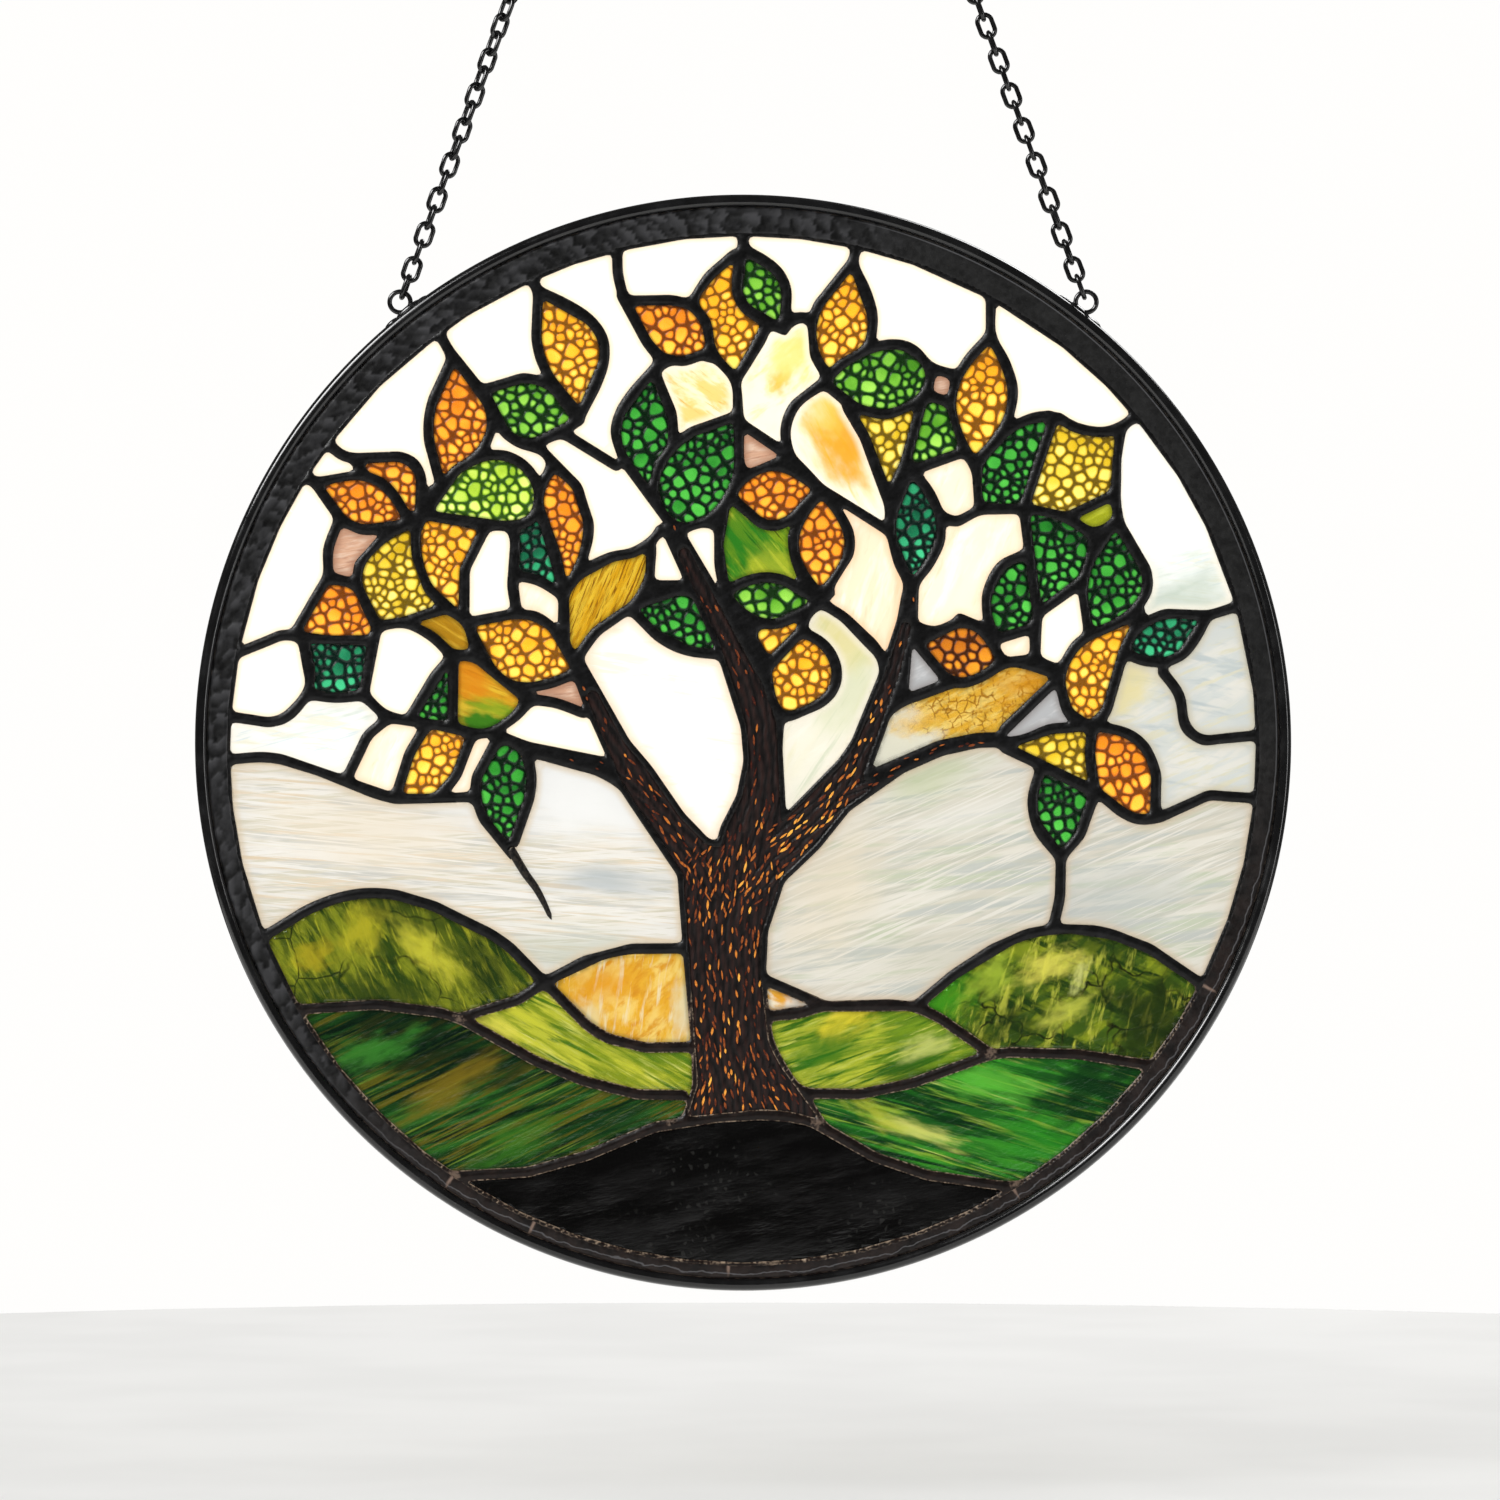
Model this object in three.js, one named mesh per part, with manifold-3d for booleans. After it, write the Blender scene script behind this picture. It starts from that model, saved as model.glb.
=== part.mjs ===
// A round stained glass suncatcher, 300 mm across: a tree of life in leaded glass, inside a
// black metal ring that hangs on two chains from one plain hanging ring.
//
// Units are millimetres, +Z up, +X to the right and the front face toward -Y. The origin is the
// inside top of the hanging ring, where the whole object hangs. The glass picture is drawn in
// panel coordinates: x to the right and z up, from the centre of the round frame.
import * as THREE from 'three';
import { mergeVertices } from 'three/addons/utils/BufferGeometryUtils.js';
import Module from 'manifold-3d';

const wasm = await Module();
wasm.setup();

// ---- Driving dimensions -----------------------------------------------------------------

const FRAME_RADIUS = 150;
const FRAME_TUBE = 3.6;          // radial width of the outer tube
const FRAME_DEPTH = 7;
const FRAME_CHAMFER = 1.4;       // cut off the tube's two outer edges
const ROUND_STEPS = 56;          // facets round the frame, the border and the glass

const GLASS_RADIUS = 140.4;      // the visible glass circle sits a little low in the frame
const GLASS_DROP = 1.8;
const GLASS_THICKNESS = 3;
const GAP = 0.3;                 // clearance between neighbouring solids
const BEAD = 1.1;                // inner lead bead that edges the glass circle
const BORDER_DEPTH = 5;

const LEAD_WIDTH = 2.9;
const LEAD_DEPTH = 5;
const LEAD_GRIP = 0.25;          // how far a fused pane reaches into the lead
const WIRE_DEPTH = 0.8;          // tendril that is soldered on the face of the glass
const WIRE_WIDTH = 2.2;
const BARK_EDGE = 1.7;           // lead along each side of the tree
const NARROWEST_BARK = 2.2;      // a limb thinner than this inside its lead is all lead

const EYE_ANGLE = 37.9;          // degrees from the top, both sides
const EYE_RADIUS = 2.85;
const EYE_FACETS = { sides: 5, steps: 10 };
const WIRE_RADIUS = 0.65;

const HANG_HEIGHT = 380;         // centre of the hanging ring above the frame's centre
const HANG_RADIUS = 7;
const HANG_WIRE = 1;
const HANG_FACETS = { sides: 6, steps: 20 };

const LINK_COUNT = 53;
const LINK_WIDTH = 6;
const LINK_BITE = 0.1;           // linked wires press together by this much
const CHAIN_TWIST = { left: Math.PI / 4, right: 0 };

const NODE_LIMIT = 60;
const SMALLEST_PANE = 4;         // slivers under this area, in square millimetres, are lead
const TIDY = 0.55;               // points that bend an outline less than this are dropped
const CURVE_TOLERANCE = 0.22;    // how far a drawn curve's chords may leave it
const CURVE_SAMPLES = 8;         // points tried between two given ones
const LONGEST_MITRE = 2;         // at a sharp corner, in half widths
const WIDE_LEAF = 9;             // a leaf that bulges more than this has more points
const FLAT = 0.01;               // faces this close to the front of a solid are its front

// ---- Colours ----------------------------------------------------------------------------

const FINISH = {
  black_metal: { color: 0x121212, roughness: 0.3, metalness: 0.85 },
  grey_came: { color: 0x2b2a2b, roughness: 0.45, metalness: 0.8 },
  dark_lead: { color: 0x17171a, roughness: 0.5, metalness: 0.6 },
  sky: { color: 0xf4f0e4, roughness: 0.15, metalness: 0 },
  cream: { color: 0xf1e3b4, roughness: 0.15, metalness: 0 },
  pink: { color: 0xd9a78c, roughness: 0.15, metalness: 0 },
  amber: { color: 0xd9780f, roughness: 0.2, metalness: 0 },
  gold: { color: 0xe0a30f, roughness: 0.2, metalness: 0 },
  lime: { color: 0xa9b81d, roughness: 0.2, metalness: 0 },
  green: { color: 0x3f8f22, roughness: 0.2, metalness: 0 },
  teal: { color: 0x14704a, roughness: 0.2, metalness: 0 },
  hill: { color: 0x6d8a1c, roughness: 0.2, metalness: 0 },
  meadow: { color: 0xa7b82b, roughness: 0.2, metalness: 0 },
  forest: { color: 0x1b5a26, roughness: 0.2, metalness: 0 },
  honey: { color: 0xd9b022, roughness: 0.2, metalness: 0 },
  bark: { color: 0x2a1712, roughness: 0.35, metalness: 0 },
  ground: { color: 0x0a0a0a, roughness: 0.25, metalness: 0 },
};

// What a pane of each glass is called; # is its number from left to right.
const PANE_NAME = {
  sky: 'sky_pane_#',
  cream: 'cream_pane_#',
  pink: 'rose_pane_#',
  amber: 'amber_leaf_#',
  gold: 'gold_leaf_#',
  lime: 'lime_leaf_#',
  green: 'green_leaf_#',
  teal: 'teal_leaf_#',
  hill: 'hill_pane_#',
  meadow: 'meadow_pane_#',
  forest: 'forest_pane_#',
  honey: 'honey_pane_#',
  bark: 'tree_trunk',
  ground: 'ground_pane',
};

// ---- The picture ------------------------------------------------------------------------

// A leaf is a pointed oval from its base to its tip. left and right are how far its lead bulges
// from that axis, and fullest is how far along the axis it is widest.
const leaf = (glass, base, tip, left, right, fullest = 0.5) =>
  ({ glass, base, tip, left, right, fullest });

// Leaves that others, or the tree, partly cover.
const BACK_LEAVES = [
  leaf('amber', [-106, 77.5], [-88.5, 60.5], 10.3, 3),
  leaf('gold', [-2, 99], [-2.5, 133.5], 12, 9.5, 0.55),
  leaf('green', [-31, 37], [-4, 24], 11.6, 4.2),
];

const LEAVES = [
  leaf('amber', [-82.5, 70], [-79, 105.5], 5.2, 12.2),
  leaf('amber', [-117, 71], [-91, 60], 7.4, 7),
  leaf('gold', [-44.5, 89.5], [-56, 123.5], 5.3, 12.5),
  leaf('green', [-71, 96.5], [-45, 88], 7.3, 10.6),
  leaf('amber', [-32.5, 121], [-8.5, 107], 8.3, 8.6, 0.6),
  leaf('green', [11, 113], [0, 135], 7, 6),
  leaf('green', [-25.5, 67.5], [-24.5, 102], 9.8, 6),
  leaf('gold', [24, 98.5], [30, 131.5], 8, 8.8, 0.45),
  leaf('gold', [63, 76], [67.8, 111.5], 8.5, 8.4),
  leaf('green', [95, 28.5], [102, 60.5], 5.2, 12.3),
  leaf('teal', [103, 25], [127, 34.8], 5, 7.8, 0.48),
  leaf('gold', [-75.5, 32.8], [-45, 19.3], 9.2, 10.8, 0.52),
  leaf('amber', [-4, 68], [21, 69.5], 7, 9.4, 0.48),
  leaf('amber', [21, 40], [21.5, 69], 7.5, 8),
  leaf('green', [-5.5, 41], [21, 38.5], 5.4, 7.4, 0.48),
  leaf('teal', [46, 42.5], [46, 75], 5.6, 8.3),
  leaf('amber', [47.5, 27.2], [71, 22], 8.5, 8.2, 0.53),
];

// Panes with a rounder outline: one smooth lead that starts and ends at a corner.
const ROUND_PANES = [
  { glass: 'lime', at: [-70, 69], loop: [[-87, 62.3], [-78.5, 74.5], [-68, 78.8], [-59.5, 75.5],
    [-55.6, 67.5], [-59, 60.3], [-71, 59.5], [-87, 62.3]] },
  { glass: 'green', at: [-12, 74], loop: [[-1.2, 89.5], [-14, 85], [-22.3, 77], [-24.2, 67.5],
    [-18.5, 59], [-9.5, 61], [-3.6, 67.5], [-1, 76], [-1.2, 89.5]] },
  { glass: 'green', at: [37, 99], loop: [[22, 98.5], [28, 104.3], [36, 108.2], [44.5, 108.5],
    [51, 102.5], [49.5, 95], [40.5, 90], [31, 91.5], [22, 98.5]] },
  { glass: 'gold', at: [95, 17], loop: [[108.5, 34.8], [97, 30.5], [90, 25.5], [86.8, 17.5],
    [88.8, 8.5], [94.8, 4.6], [99.5, 9], [102, 18], [104.5, 26], [108.5, 34.8]] },
  { glass: 'gold', at: [15, 18], loop: [[16, 30.5], [9.5, 24], [6.3, 19], [9.7, 8], [17, 8.6],
    [24, 13.5], [25.6, 20], [22.5, 26.5], [16, 30.5]] },
  { glass: 'green', at: [87, -17], loop: [[87, -31.5], [81, -24], [79.2, -15.5], [82, -6.8],
    [89, -9.8], [95.6, -13.5], [94.6, -19], [91.7, -26], [87, -31.5]] },
  { glass: 'green', at: [-65, -12], loop: [[-63.6, -30], [-70.8, -21], [-73.2, -13],
    [-71.5, -6], [-66, 1], [-60, -1.5], [-58, -8], [-58.3, -14.5], [-61, -21.5],
    [-63.6, -30]] },
];

// Plain lead lines, from one junction to the next.
const LEAD_LINES = [
  // Upper left: between the leaves, the sky and the border.
  [[-87, 119], [-79.8, 106]],
  [[-116, 84.5], [-109.5, 78.5], [-101, 77.8]],
  [[-121, 73.5], [-116.5, 71]],
  [[-84.5, 70.5], [-86.5, 63]],
  [[-58.5, 128.5], [-56, 123]],
  [[-60.5, 82.3], [-54.5, 79.8], [-51.5, 76]],
  [[-49, 84.5], [-44, 81.8], [-39.5, 78.5], [-33.5, 75]],
  [[-46, 88.5], [-49.5, 84.5]],
  [[-34.5, 137], [-34.2, 128], [-32.5, 121]],
  [[0, 141], [0, 134]],
  [[-10.5, 105.5], [-4, 104.5], [-2, 99.5]],
  [[-24.5, 102], [-20, 104.5]],
  [[-1.2, 89], [-1.8, 95], [-2, 99.5]],
  // Upper middle and right.
  [[11, 113.5], [15, 116.4], [20, 115.5]],
  [[31.5, 138], [30, 131]],
  [[67.8, 123], [67.8, 111]],
  [[-1, 87.5], [5, 84], [11.2, 79.3]],
  [[22.5, 98.5], [15, 93.3], [11.8, 87], [12.2, 80], [15.5, 75], [20.7, 69.7]],
  [[11.5, 77.5], [5, 74.2], [0.5, 73.2], [-1.5, 78]],
  [[28, 92.5], [34, 82], [39.7, 66.5], [40.3, 58]],
  [[39.7, 67], [44.5, 77], [49.6, 95.5]],
  [[44.8, 74.2], [52, 76.2], [62, 80.2]],
  [[51, 102.8], [57.8, 100.6]],
  [[49.6, 95.2], [57, 93]],
  [[54, 62], [58.5, 60.3], [64.5, 63.5]],
  [[20.7, 69.7], [28, 65.6], [34.5, 61], [41, 57.3]],
  [[110, 91], [103.5, 86.5], [98, 84.9], [91, 86.2], [85.3, 89.6]],
  [[85.3, 89.6], [77, 88.2], [70, 83.5], [65.2, 78], [63.8, 71], [64.8, 64]],
  [[64.8, 64], [76.8, 64], [83, 63.3], [89, 61.2], [95.5, 57]],
  [[76.8, 64], [80.3, 75], [82.4, 82], [85.3, 89.6]],
  [[103.5, 86.5], [101.9, 76], [101.8, 67.5], [103, 60]],
  [[89, 61.8], [95.5, 65], [101.8, 68]],
  [[95, 57.3], [98.5, 58], [102, 60.5]],
  [[76.8, 64], [78.5, 52], [79.7, 40], [80.5, 35.5]],
  [[95.8, 57], [95.4, 51.5], [92, 43.5], [80.8, 35.5]],
  [[78.4, 52], [71, 48.6], [67.2, 42], [66.6, 35], [69, 28.2]],
  [[69, 28.2], [74, 29.8], [79.7, 31.5]],
  [[80.5, 35.5], [79.6, 28], [80, 21.6]],
  [[71, 22], [76, 21.8], [86.8, 18.5]],
  [[67.5, 30.5], [58, 34.5]],
  [[127, 34.8], [136, 37.5]],
  [[114, 20.3], [119.3, 13], [121, 4.5], [125.5, 0.8], [132, 0.8], [142, 2.2]],
  [[38.5, 7.5], [45, 12], [53, 15.2], [62, 17.6], [70, 21.2], [77, 22.8], [83, 21.4],
    [86.8, 18.5], [81, 13.2], [76, 7.8], [70.5, 2.8]],
  [[40.5, 10.5], [52, 14.5]],
  [[70.5, -0.2], [77, 0.9], [84, 3.7], [95, 4.6]],
  [[70.5, -1], [76, -3.2], [83, -7], [90, -10.3], [97.5, -14], [105, -19.8], [112, -21],
    [120, -17.5], [126, -14.7], [132, -14.2], [142, -15.5]],
  [[95.5, 4.8], [94.9, -3.5], [96.3, -13.5]],
  [[95.5, 4.8], [104, 3], [109.8, -1.2], [113, -9], [112.7, -20.5]],
  [[87, -31], [87, -37], [86.4, -44], [84.5, -52]],
  // Left side.
  [[-113.5, 45], [-113.6, 52], [-111.2, 59.5], [-109.5, 62.5]],
  [[-139, 24.3], [-131, 27.2], [-126, 29.5], [-120.5, 28.8], [-111, 27.8], [-101, 28]],
  [[-122.5, 30], [-118.4, 37.5], [-114.2, 44.5], [-109, 44.3], [-105.3, 42.3],
    [-101.7, 36], [-100, 31]],
  [[-105.3, 42.3], [-104.9, 48.8], [-99.8, 54.8], [-92.5, 60]],
  [[-100.3, 31.8], [-92, 33.2], [-86, 35.7], [-80.5, 36.8]],
  [[-92, 32.6], [-85, 29], [-79.3, 23.5]],
  [[-89.5, 61], [-89.2, 51], [-86.6, 43], [-81.5, 37.5], [-77.5, 34.2], [-75.5, 32.8]],
  [[-70, 59.5], [-75.5, 49.5], [-76.6, 41.5], [-76.2, 33]],
  [[-63.5, 60], [-62.2, 54], [-63.1, 43], [-61.8, 35]],
  [[-63, 46], [-56, 44.4], [-49.5, 40.5]],
  [[-56, 65], [-53, 57], [-50.6, 49], [-48.8, 40.5]],
  [[-52, 76], [-46.8, 72], [-43.6, 66], [-42.2, 58], [-44.5, 48.5], [-48.8, 40.5]],
  [[-52, 76.5], [-56, 68]],
  [[-48.8, 41.5], [-43.5, 47.2], [-36, 50.8], [-30, 52], [-24.5, 55.5], [-22, 59.5]],
  [[-49, 41], [-49.3, 32], [-48, 24.5], [-44.3, 19]],
  [[-45, 23.8], [-40, 30.5], [-33, 35.6], [-29, 38.5], [-25.6, 45], [-25, 54]],
  [[-25.8, 43], [-20, 42.8], [-13, 43]],
  [[-120.5, 28.5], [-118.3, 19], [-119.2, 13.5], [-124.5, 7.3], [-131, 5.6], [-142, 7.5]],
  [[-119, 13.2], [-111.5, 12.3], [-103.8, 12.8], [-98.5, 8], [-94, 6.2], [-85, 5.2], [-75, 3]],
  [[-103.8, 12.8], [-102.8, 20], [-100.3, 31]],
  [[-91.3, 6.5], [-87, 12.8], [-84.3, 18.2], [-79.2, 24]],
  [[-79.2, 24], [-79.2, 12], [-79.5, 4.5]],
  [[-79.2, 24], [-73.5, 23.5], [-66, 17.5], [-58.5, 11.5]],
  [[-75.5, 32.8], [-72.5, 23]],
  [[-79, 3.8], [-73.5, 2.5], [-69, 2.8], [-63, 6.5], [-58.5, 11.5], [-51, 10.8], [-42.5, 7.6]],
  [[-96.8, 6.8], [-102.3, 2.4], [-105.3, -3], [-108.5, -10]],
  [[-86.3, 5], [-90.5, -1.5], [-93, -8], [-95, -14.8]],
  [[-74, 2.8], [-76.2, -4], [-79.3, -10.3], [-84, -15.3]],
  [[-142, -4.7], [-130, -4], [-120, -6.3], [-110, -10], [-103, -13], [-97, -14.9],
    [-92, -15.6], [-83, -15.4], [-73.3, -14.8]],
  // Middle.
  [[-4.5, 38], [-0.5, 30.5], [5, 20.5]],
  [[-5, 67], [-6.6, 58], [-6.6, 50], [-5, 42]],
  [[-18.5, 59], [-13, 60.8], [-6.5, 59.6]],
  [[13.9, 58], [14.9, 49], [17.4, 42]],
  [[3.2, 32], [2.2, 29.2], [6.8, 21.3]],
  [[16, 31], [17, 34.5], [21, 38.5]],
  [[21, 38.5], [27, 34.8], [33, 29.5], [37.3, 24.5], [39, 19]],
  [[21, 39.5], [25, 41.5]],
  [[9.8, 8], [9.9, -2]],
  [[44.5, 24], [44.5, 15.5], [41.5, 10.5]],
  [[46, 32], [52, 30.5]],
];

// Lines of the landscape, and the glass that lies under each.
const GROUND_LINE = [
  [-82, -118.6], [-65, -118.3], [-53.6, -116.2], [-43, -113], [-32.7, -108.9],
  [-25.3, -105.5], [-18, -104.2], [-7.5, -102.5], [2.9, -101.8], [13.6, -102.5],
  [20.9, -104.6], [28.2, -109.2], [38.7, -114.5], [52.3, -118.7], [67, -121], [78, -121],
];
const HILL_LINES = [
  [[-131, -53], [-119.6, -46], [-109, -42], [-99.7, -41.2], [-89, -43], [-76.7, -48.4],
    [-65, -55], [-54.4, -65.5]],
  [[-122, -73], [-107, -71.8], [-96.6, -71.8], [-86, -73.2], [-77.7, -75.4], [-67, -81],
    [-56.8, -87], [-45, -92], [-33.7, -95.3], [-24.3, -96.6], [-15, -96.4]],
  [[-77.7, -75.4], [-70, -72.6], [-62, -70.5], [-54.4, -65.5], [-49.4, -62.8], [-41, -58.8],
    [-30.6, -56.4], [-15, -56.2]],
  [[-54.4, -65.5], [-48.4, -71.5], [-42, -77.8], [-34.8, -81.7], [-25.3, -83.5], [-13, -83.2]],
  GROUND_LINE,
  [[4, -64], [13.6, -68], [22.5, -72]],
  [[4, -75], [14.6, -74.2], [23, -72], [35.6, -71.6], [47, -72.3], [56.5, -77], [68, -85.3]],
  [[11, -92.5], [16.5, -95.5], [24, -96.4], [33.5, -95.9], [46, -93.2], [56.5, -89.6],
    [68, -85.3], [77.5, -84.6], [88, -84.9], [98.4, -86], [112, -88.3]],
  [[47, -72.3], [56.5, -64.3], [67, -57.2], [77.5, -52.4], [88, -50.9], [98.4, -51.8],
    [109, -55.3], [117.3, -60], [126, -66.5]],
];

// The tree: each limb is a run of [x, z, width]. It stands on the ground line.
const TREE = [
  [[1.5, -106, 44], [1.2, -102, 38], [0, -96, 31.5], [-1, -91, 26.5], [-2.8, -83, 22.8],
    [-4.1, -72, 21.8], [-5, -61.6, 22.3], [-5, -51, 23.8], [-4.2, -42.8, 27.5],
    [-3.3, -36.5, 30], [-1.5, -28, 24]],
  [[-5, -44, 8], [-14, -31, 13.5], [-20.5, -22.5, 11], [-29.5, -9.5, 11], [-34.4, -1, 7.6],
    [-37.8, 6, 7.2], [-41.8, 14, 6.6], [-44, 19, 5.4], [-46.5, 24, 3.4]],
  [[-22, -20, 4], [-31.5, -10.2, 7], [-39.5, -6.2, 5.8], [-48.7, -4, 4.2],
    [-58.8, -1.8, 4.2], [-68.5, 2, 4]],
  [[0, -42, 10], [8, -31, 15], [16.4, -24, 13.4], [23.8, -16, 12.2], [30, -7.5, 10],
    [33.2, -0.5, 7.5], [36.8, 8, 7.4], [41.2, 20, 6.8], [44.9, 33, 5.8], [46, 43, 4.4]],
  [[26, -15.5, 9], [34.3, -11.2, 6.4], [43, -6, 5], [54, -1.5, 4.4], [64, 0.6, 4.2],
    [71.5, 0.8, 4.2]],
  [[0.5, -38, 19], [3, -25, 19], [4.9, -15, 13.4], [5.5, -5, 10.8], [5, 5, 11.4],
    [2.6, 13, 10.6], [-1, 21, 9.6], [-4.4, 29, 8.2], [-8.2, 37, 7.6], [-13, 46, 7.2],
    [-16.8, 53, 6.6], [-20.2, 59.5, 5]],
];

// Coloured panes that no leaf or loop names. Everything else is sky glass.
const GLASS_AT = [
  ['green', -20, 63.5], ['pink', -108, 51], ['gold', -95, 45], ['gold', -80, 50],
  ['amber', -110, 36], ['teal', -110, 20], ['amber', -82, 32], ['green', -83, 12],
  ['amber', -71, 12], ['cream', -99, -4], ['gold', -84, -4], ['cream', -75.5, -9],
  ['amber', -50, 62], ['teal', -56, 51], ['cream', -56, 39], ['gold', -38, 42],
  ['pink', -52, 14], ['cream', -11, 96], ['cream', 9, 98], ['pink', 5, 78.5],
  ['gold', 39.5, 82], ['pink', 53.7, 98.2], ['lime', 53, 85], ['cream', 27, 82],
  ['green', 73, 76], ['gold', 91, 75], ['lime', 97, 62], ['green', 86, 51],
  ['green', 74, 40], ['cream', 60, 45], ['cream', 74.5, 25.5], ['cream', 56, 69],
  ['gold', 60, 9], ['gold', 87, -2], ['amber', 104, -8], ['lime', 3, 52],
  ['gold', 9, 28], ['cream', 22, 0], ['cream', 33, 46], ['pink', 47.5, 18],
  ['hill', -100, -58], ['honey', -28, -70], ['meadow', -42, -83], ['forest', -70, -100],
  ['honey', 9.5, -71], ['meadow', 32, -84], ['hill', 90, -68], ['forest', 55, -105],
  ['ground', 0, -122], ['bark', -4, -60],
];
// Wires laid on the front of the glass instead of parting it.
const TENDRILS = [
  [[-63.6, -28.5], [-60, -34.4], [-56.3, -40.7], [-52.8, -48]],
];

// ---- Outlines ---------------------------------------------------------------------------

const point = ([x, z]) => new THREE.Vector2(x, z);

// Points on a smooth curve through the given ones, kept only where the curve bends.
function smooth(points) {
  const curve = new THREE.SplineCurve(points.map(point));
  const fine = curve.getPoints((points.length - 1) * CURVE_SAMPLES);
  const keep = [0, fine.length - 1];
  const refine = (first, last) => {
    const chord = fine[last].clone().sub(fine[first]);
    let worst = CURVE_TOLERANCE;
    let split = -1;
    for (let i = first + 1; i < last; i += 1) {
      const side = fine[i].clone().sub(fine[first]);
      const off = chord.length() < 1e-6
        ? side.length()
        : Math.abs(chord.cross(side)) / chord.length();
      if (off > worst) {
        worst = off;
        split = i;
      }
    }
    if (split < 0) return;
    keep.push(split);
    refine(first, split);
    refine(split, last);
  };
  refine(0, fine.length - 1);
  return keep.sort((a, b) => a - b).map((i) => fine[i]);
}

// The outline of a lead of one width, or of a limb whose width changes from point to point.
function ribbon(points, widths) {
  const left = [];
  const right = [];
  points.forEach((p, i) => {
    const before = points[Math.max(i - 1, 0)];
    const after = points[Math.min(i + 1, points.length - 1)];
    const a = p.clone().sub(before);
    const b = after.clone().sub(p);
    if (a.length() < 1e-9) a.copy(b);
    if (b.length() < 1e-9) b.copy(a);
    a.normalize();
    b.normalize();
    const along = a.clone().add(b).normalize();
    const mitre = Math.min(1 / along.dot(a), LONGEST_MITRE);
    const normal = new THREE.Vector2(-along.y, along.x);
    const half = (Array.isArray(widths) ? widths[i] : widths) / 2 * mitre;
    left.push(p.clone().addScaledVector(normal, half));
    right.push(p.clone().addScaledVector(normal, -half));
  });
  return [...left, ...right.reverse()];
}

// A closed outline moved outward by a distance, or inward by a negative one.
function offset(outline, distance) {
  const turn = THREE.ShapeUtils.area(outline) > 0 ? 1 : -1;
  const count = outline.length;
  return outline.map((p, i) => {
    const a = p.clone().sub(outline[(i + count - 1) % count]).normalize();
    const b = outline[(i + 1) % count].clone().sub(p).normalize();
    const along = a.clone().add(b).normalize();
    const mitre = Math.min(1 / along.dot(a), LONGEST_MITRE);
    const outward = new THREE.Vector2(along.y, -along.x).multiplyScalar(turn);
    return p.clone().addScaledVector(outward, distance * mitre);
  });
}

function leafOutline({ base, tip, left, right, fullest }) {
  const from = point(base);
  const axis = point(tip).sub(from);
  const across = new THREE.Vector2(-axis.y, axis.x).normalize();
  const skew = Math.log(0.5) / Math.log(fullest);
  const steps = Math.max(left, right) > WIDE_LEAF ? 6 : 5;
  const side = (bulge) => {
    const points = [];
    for (let i = 1; i < steps; i += 1) {
      const t = i / steps;
      const out = bulge * Math.sin(Math.PI * t ** skew);
      points.push(from.clone().addScaledVector(axis, t).addScaledVector(across, out));
    }
    return points;
  };
  return [from, ...side(left), point(tip), ...side(-right).reverse()];
}

const circle = (radius) => {
  const points = [];
  for (let i = 0; i < ROUND_STEPS; i += 1) {
    const turn = (i / ROUND_STEPS) * 2 * Math.PI;
    points.push(new THREE.Vector2(radius * Math.sin(turn), radius * Math.cos(turn)));
  }
  return points;
};

const lowered = (outline, drop) => outline.map((p) => new THREE.Vector2(p.x, p.y - drop));

// ---- Solids -----------------------------------------------------------------------------

function toSolid(geometry) {
  geometry.deleteAttribute('normal');
  geometry.deleteAttribute('uv');
  const merged = mergeVertices(geometry, 1e-5);
  return new wasm.Manifold(new wasm.Mesh({
    numProp: 3,
    vertProperties: Float32Array.from(merged.attributes.position.array),
    triVerts: Uint32Array.from(merged.index.array),
  }));
}

function toGeometry(solid) {
  const mesh = solid.getMesh();
  const geometry = new THREE.BufferGeometry();
  geometry.setAttribute('position', new THREE.BufferAttribute(mesh.vertProperties, 3));
  geometry.setIndex(new THREE.BufferAttribute(mesh.triVerts, 1));
  return geometry;
}

// A flat plate with the given outline, standing upright and centred on the panel's middle plane.
const wound = (outline, turn) =>
  (Math.sign(THREE.ShapeUtils.area(outline)) === turn ? outline : [...outline].reverse());
function uprightGeometry(shape, depth) {
  return new THREE.ExtrudeGeometry(shape, { depth, bevelEnabled: false, curveSegments: 1 })
    .translate(0, 0, -depth / 2)
    .rotateX(Math.PI / 2);
}
function plateGeometry(outline, depth, hole = null) {
  const shape = new THREE.Shape(wound(outline, 1));
  if (hole) shape.holes.push(new THREE.Path(wound(hole, -1)));
  return uprightGeometry(shape, depth);
}
const plate = (outline, depth, hole) => toSolid(plateGeometry(outline, depth, hole));
const joined = (solids) => wasm.Manifold.union(solids);

// A limb of the tree, narrowed by shrink. Where it doesn't thin out, its end is cut back too, so
// that lead crosses it there.
function limbOutline(limb, shrink) {
  const widths = limb.map(([, , width]) => width - shrink);
  const tooThin = widths.findIndex((width) => width < NARROWEST_BARK);
  const count = tooThin < 0 ? limb.length : tooThin;
  if (count < 2) return null;
  const line = limb.slice(0, count).map(point);
  if (tooThin < 0) {
    const end = line[count - 1];
    end.add(line[count - 2].clone().sub(end).setLength(shrink / 2));
  }
  return ribbon(line, widths.slice(0, count));
}
const tree = (shrink, depth) => joined(TREE.map((limb) => limbOutline(limb, shrink))
  .filter(Boolean)
  .map((outline) => plate(outline, depth)));

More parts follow.
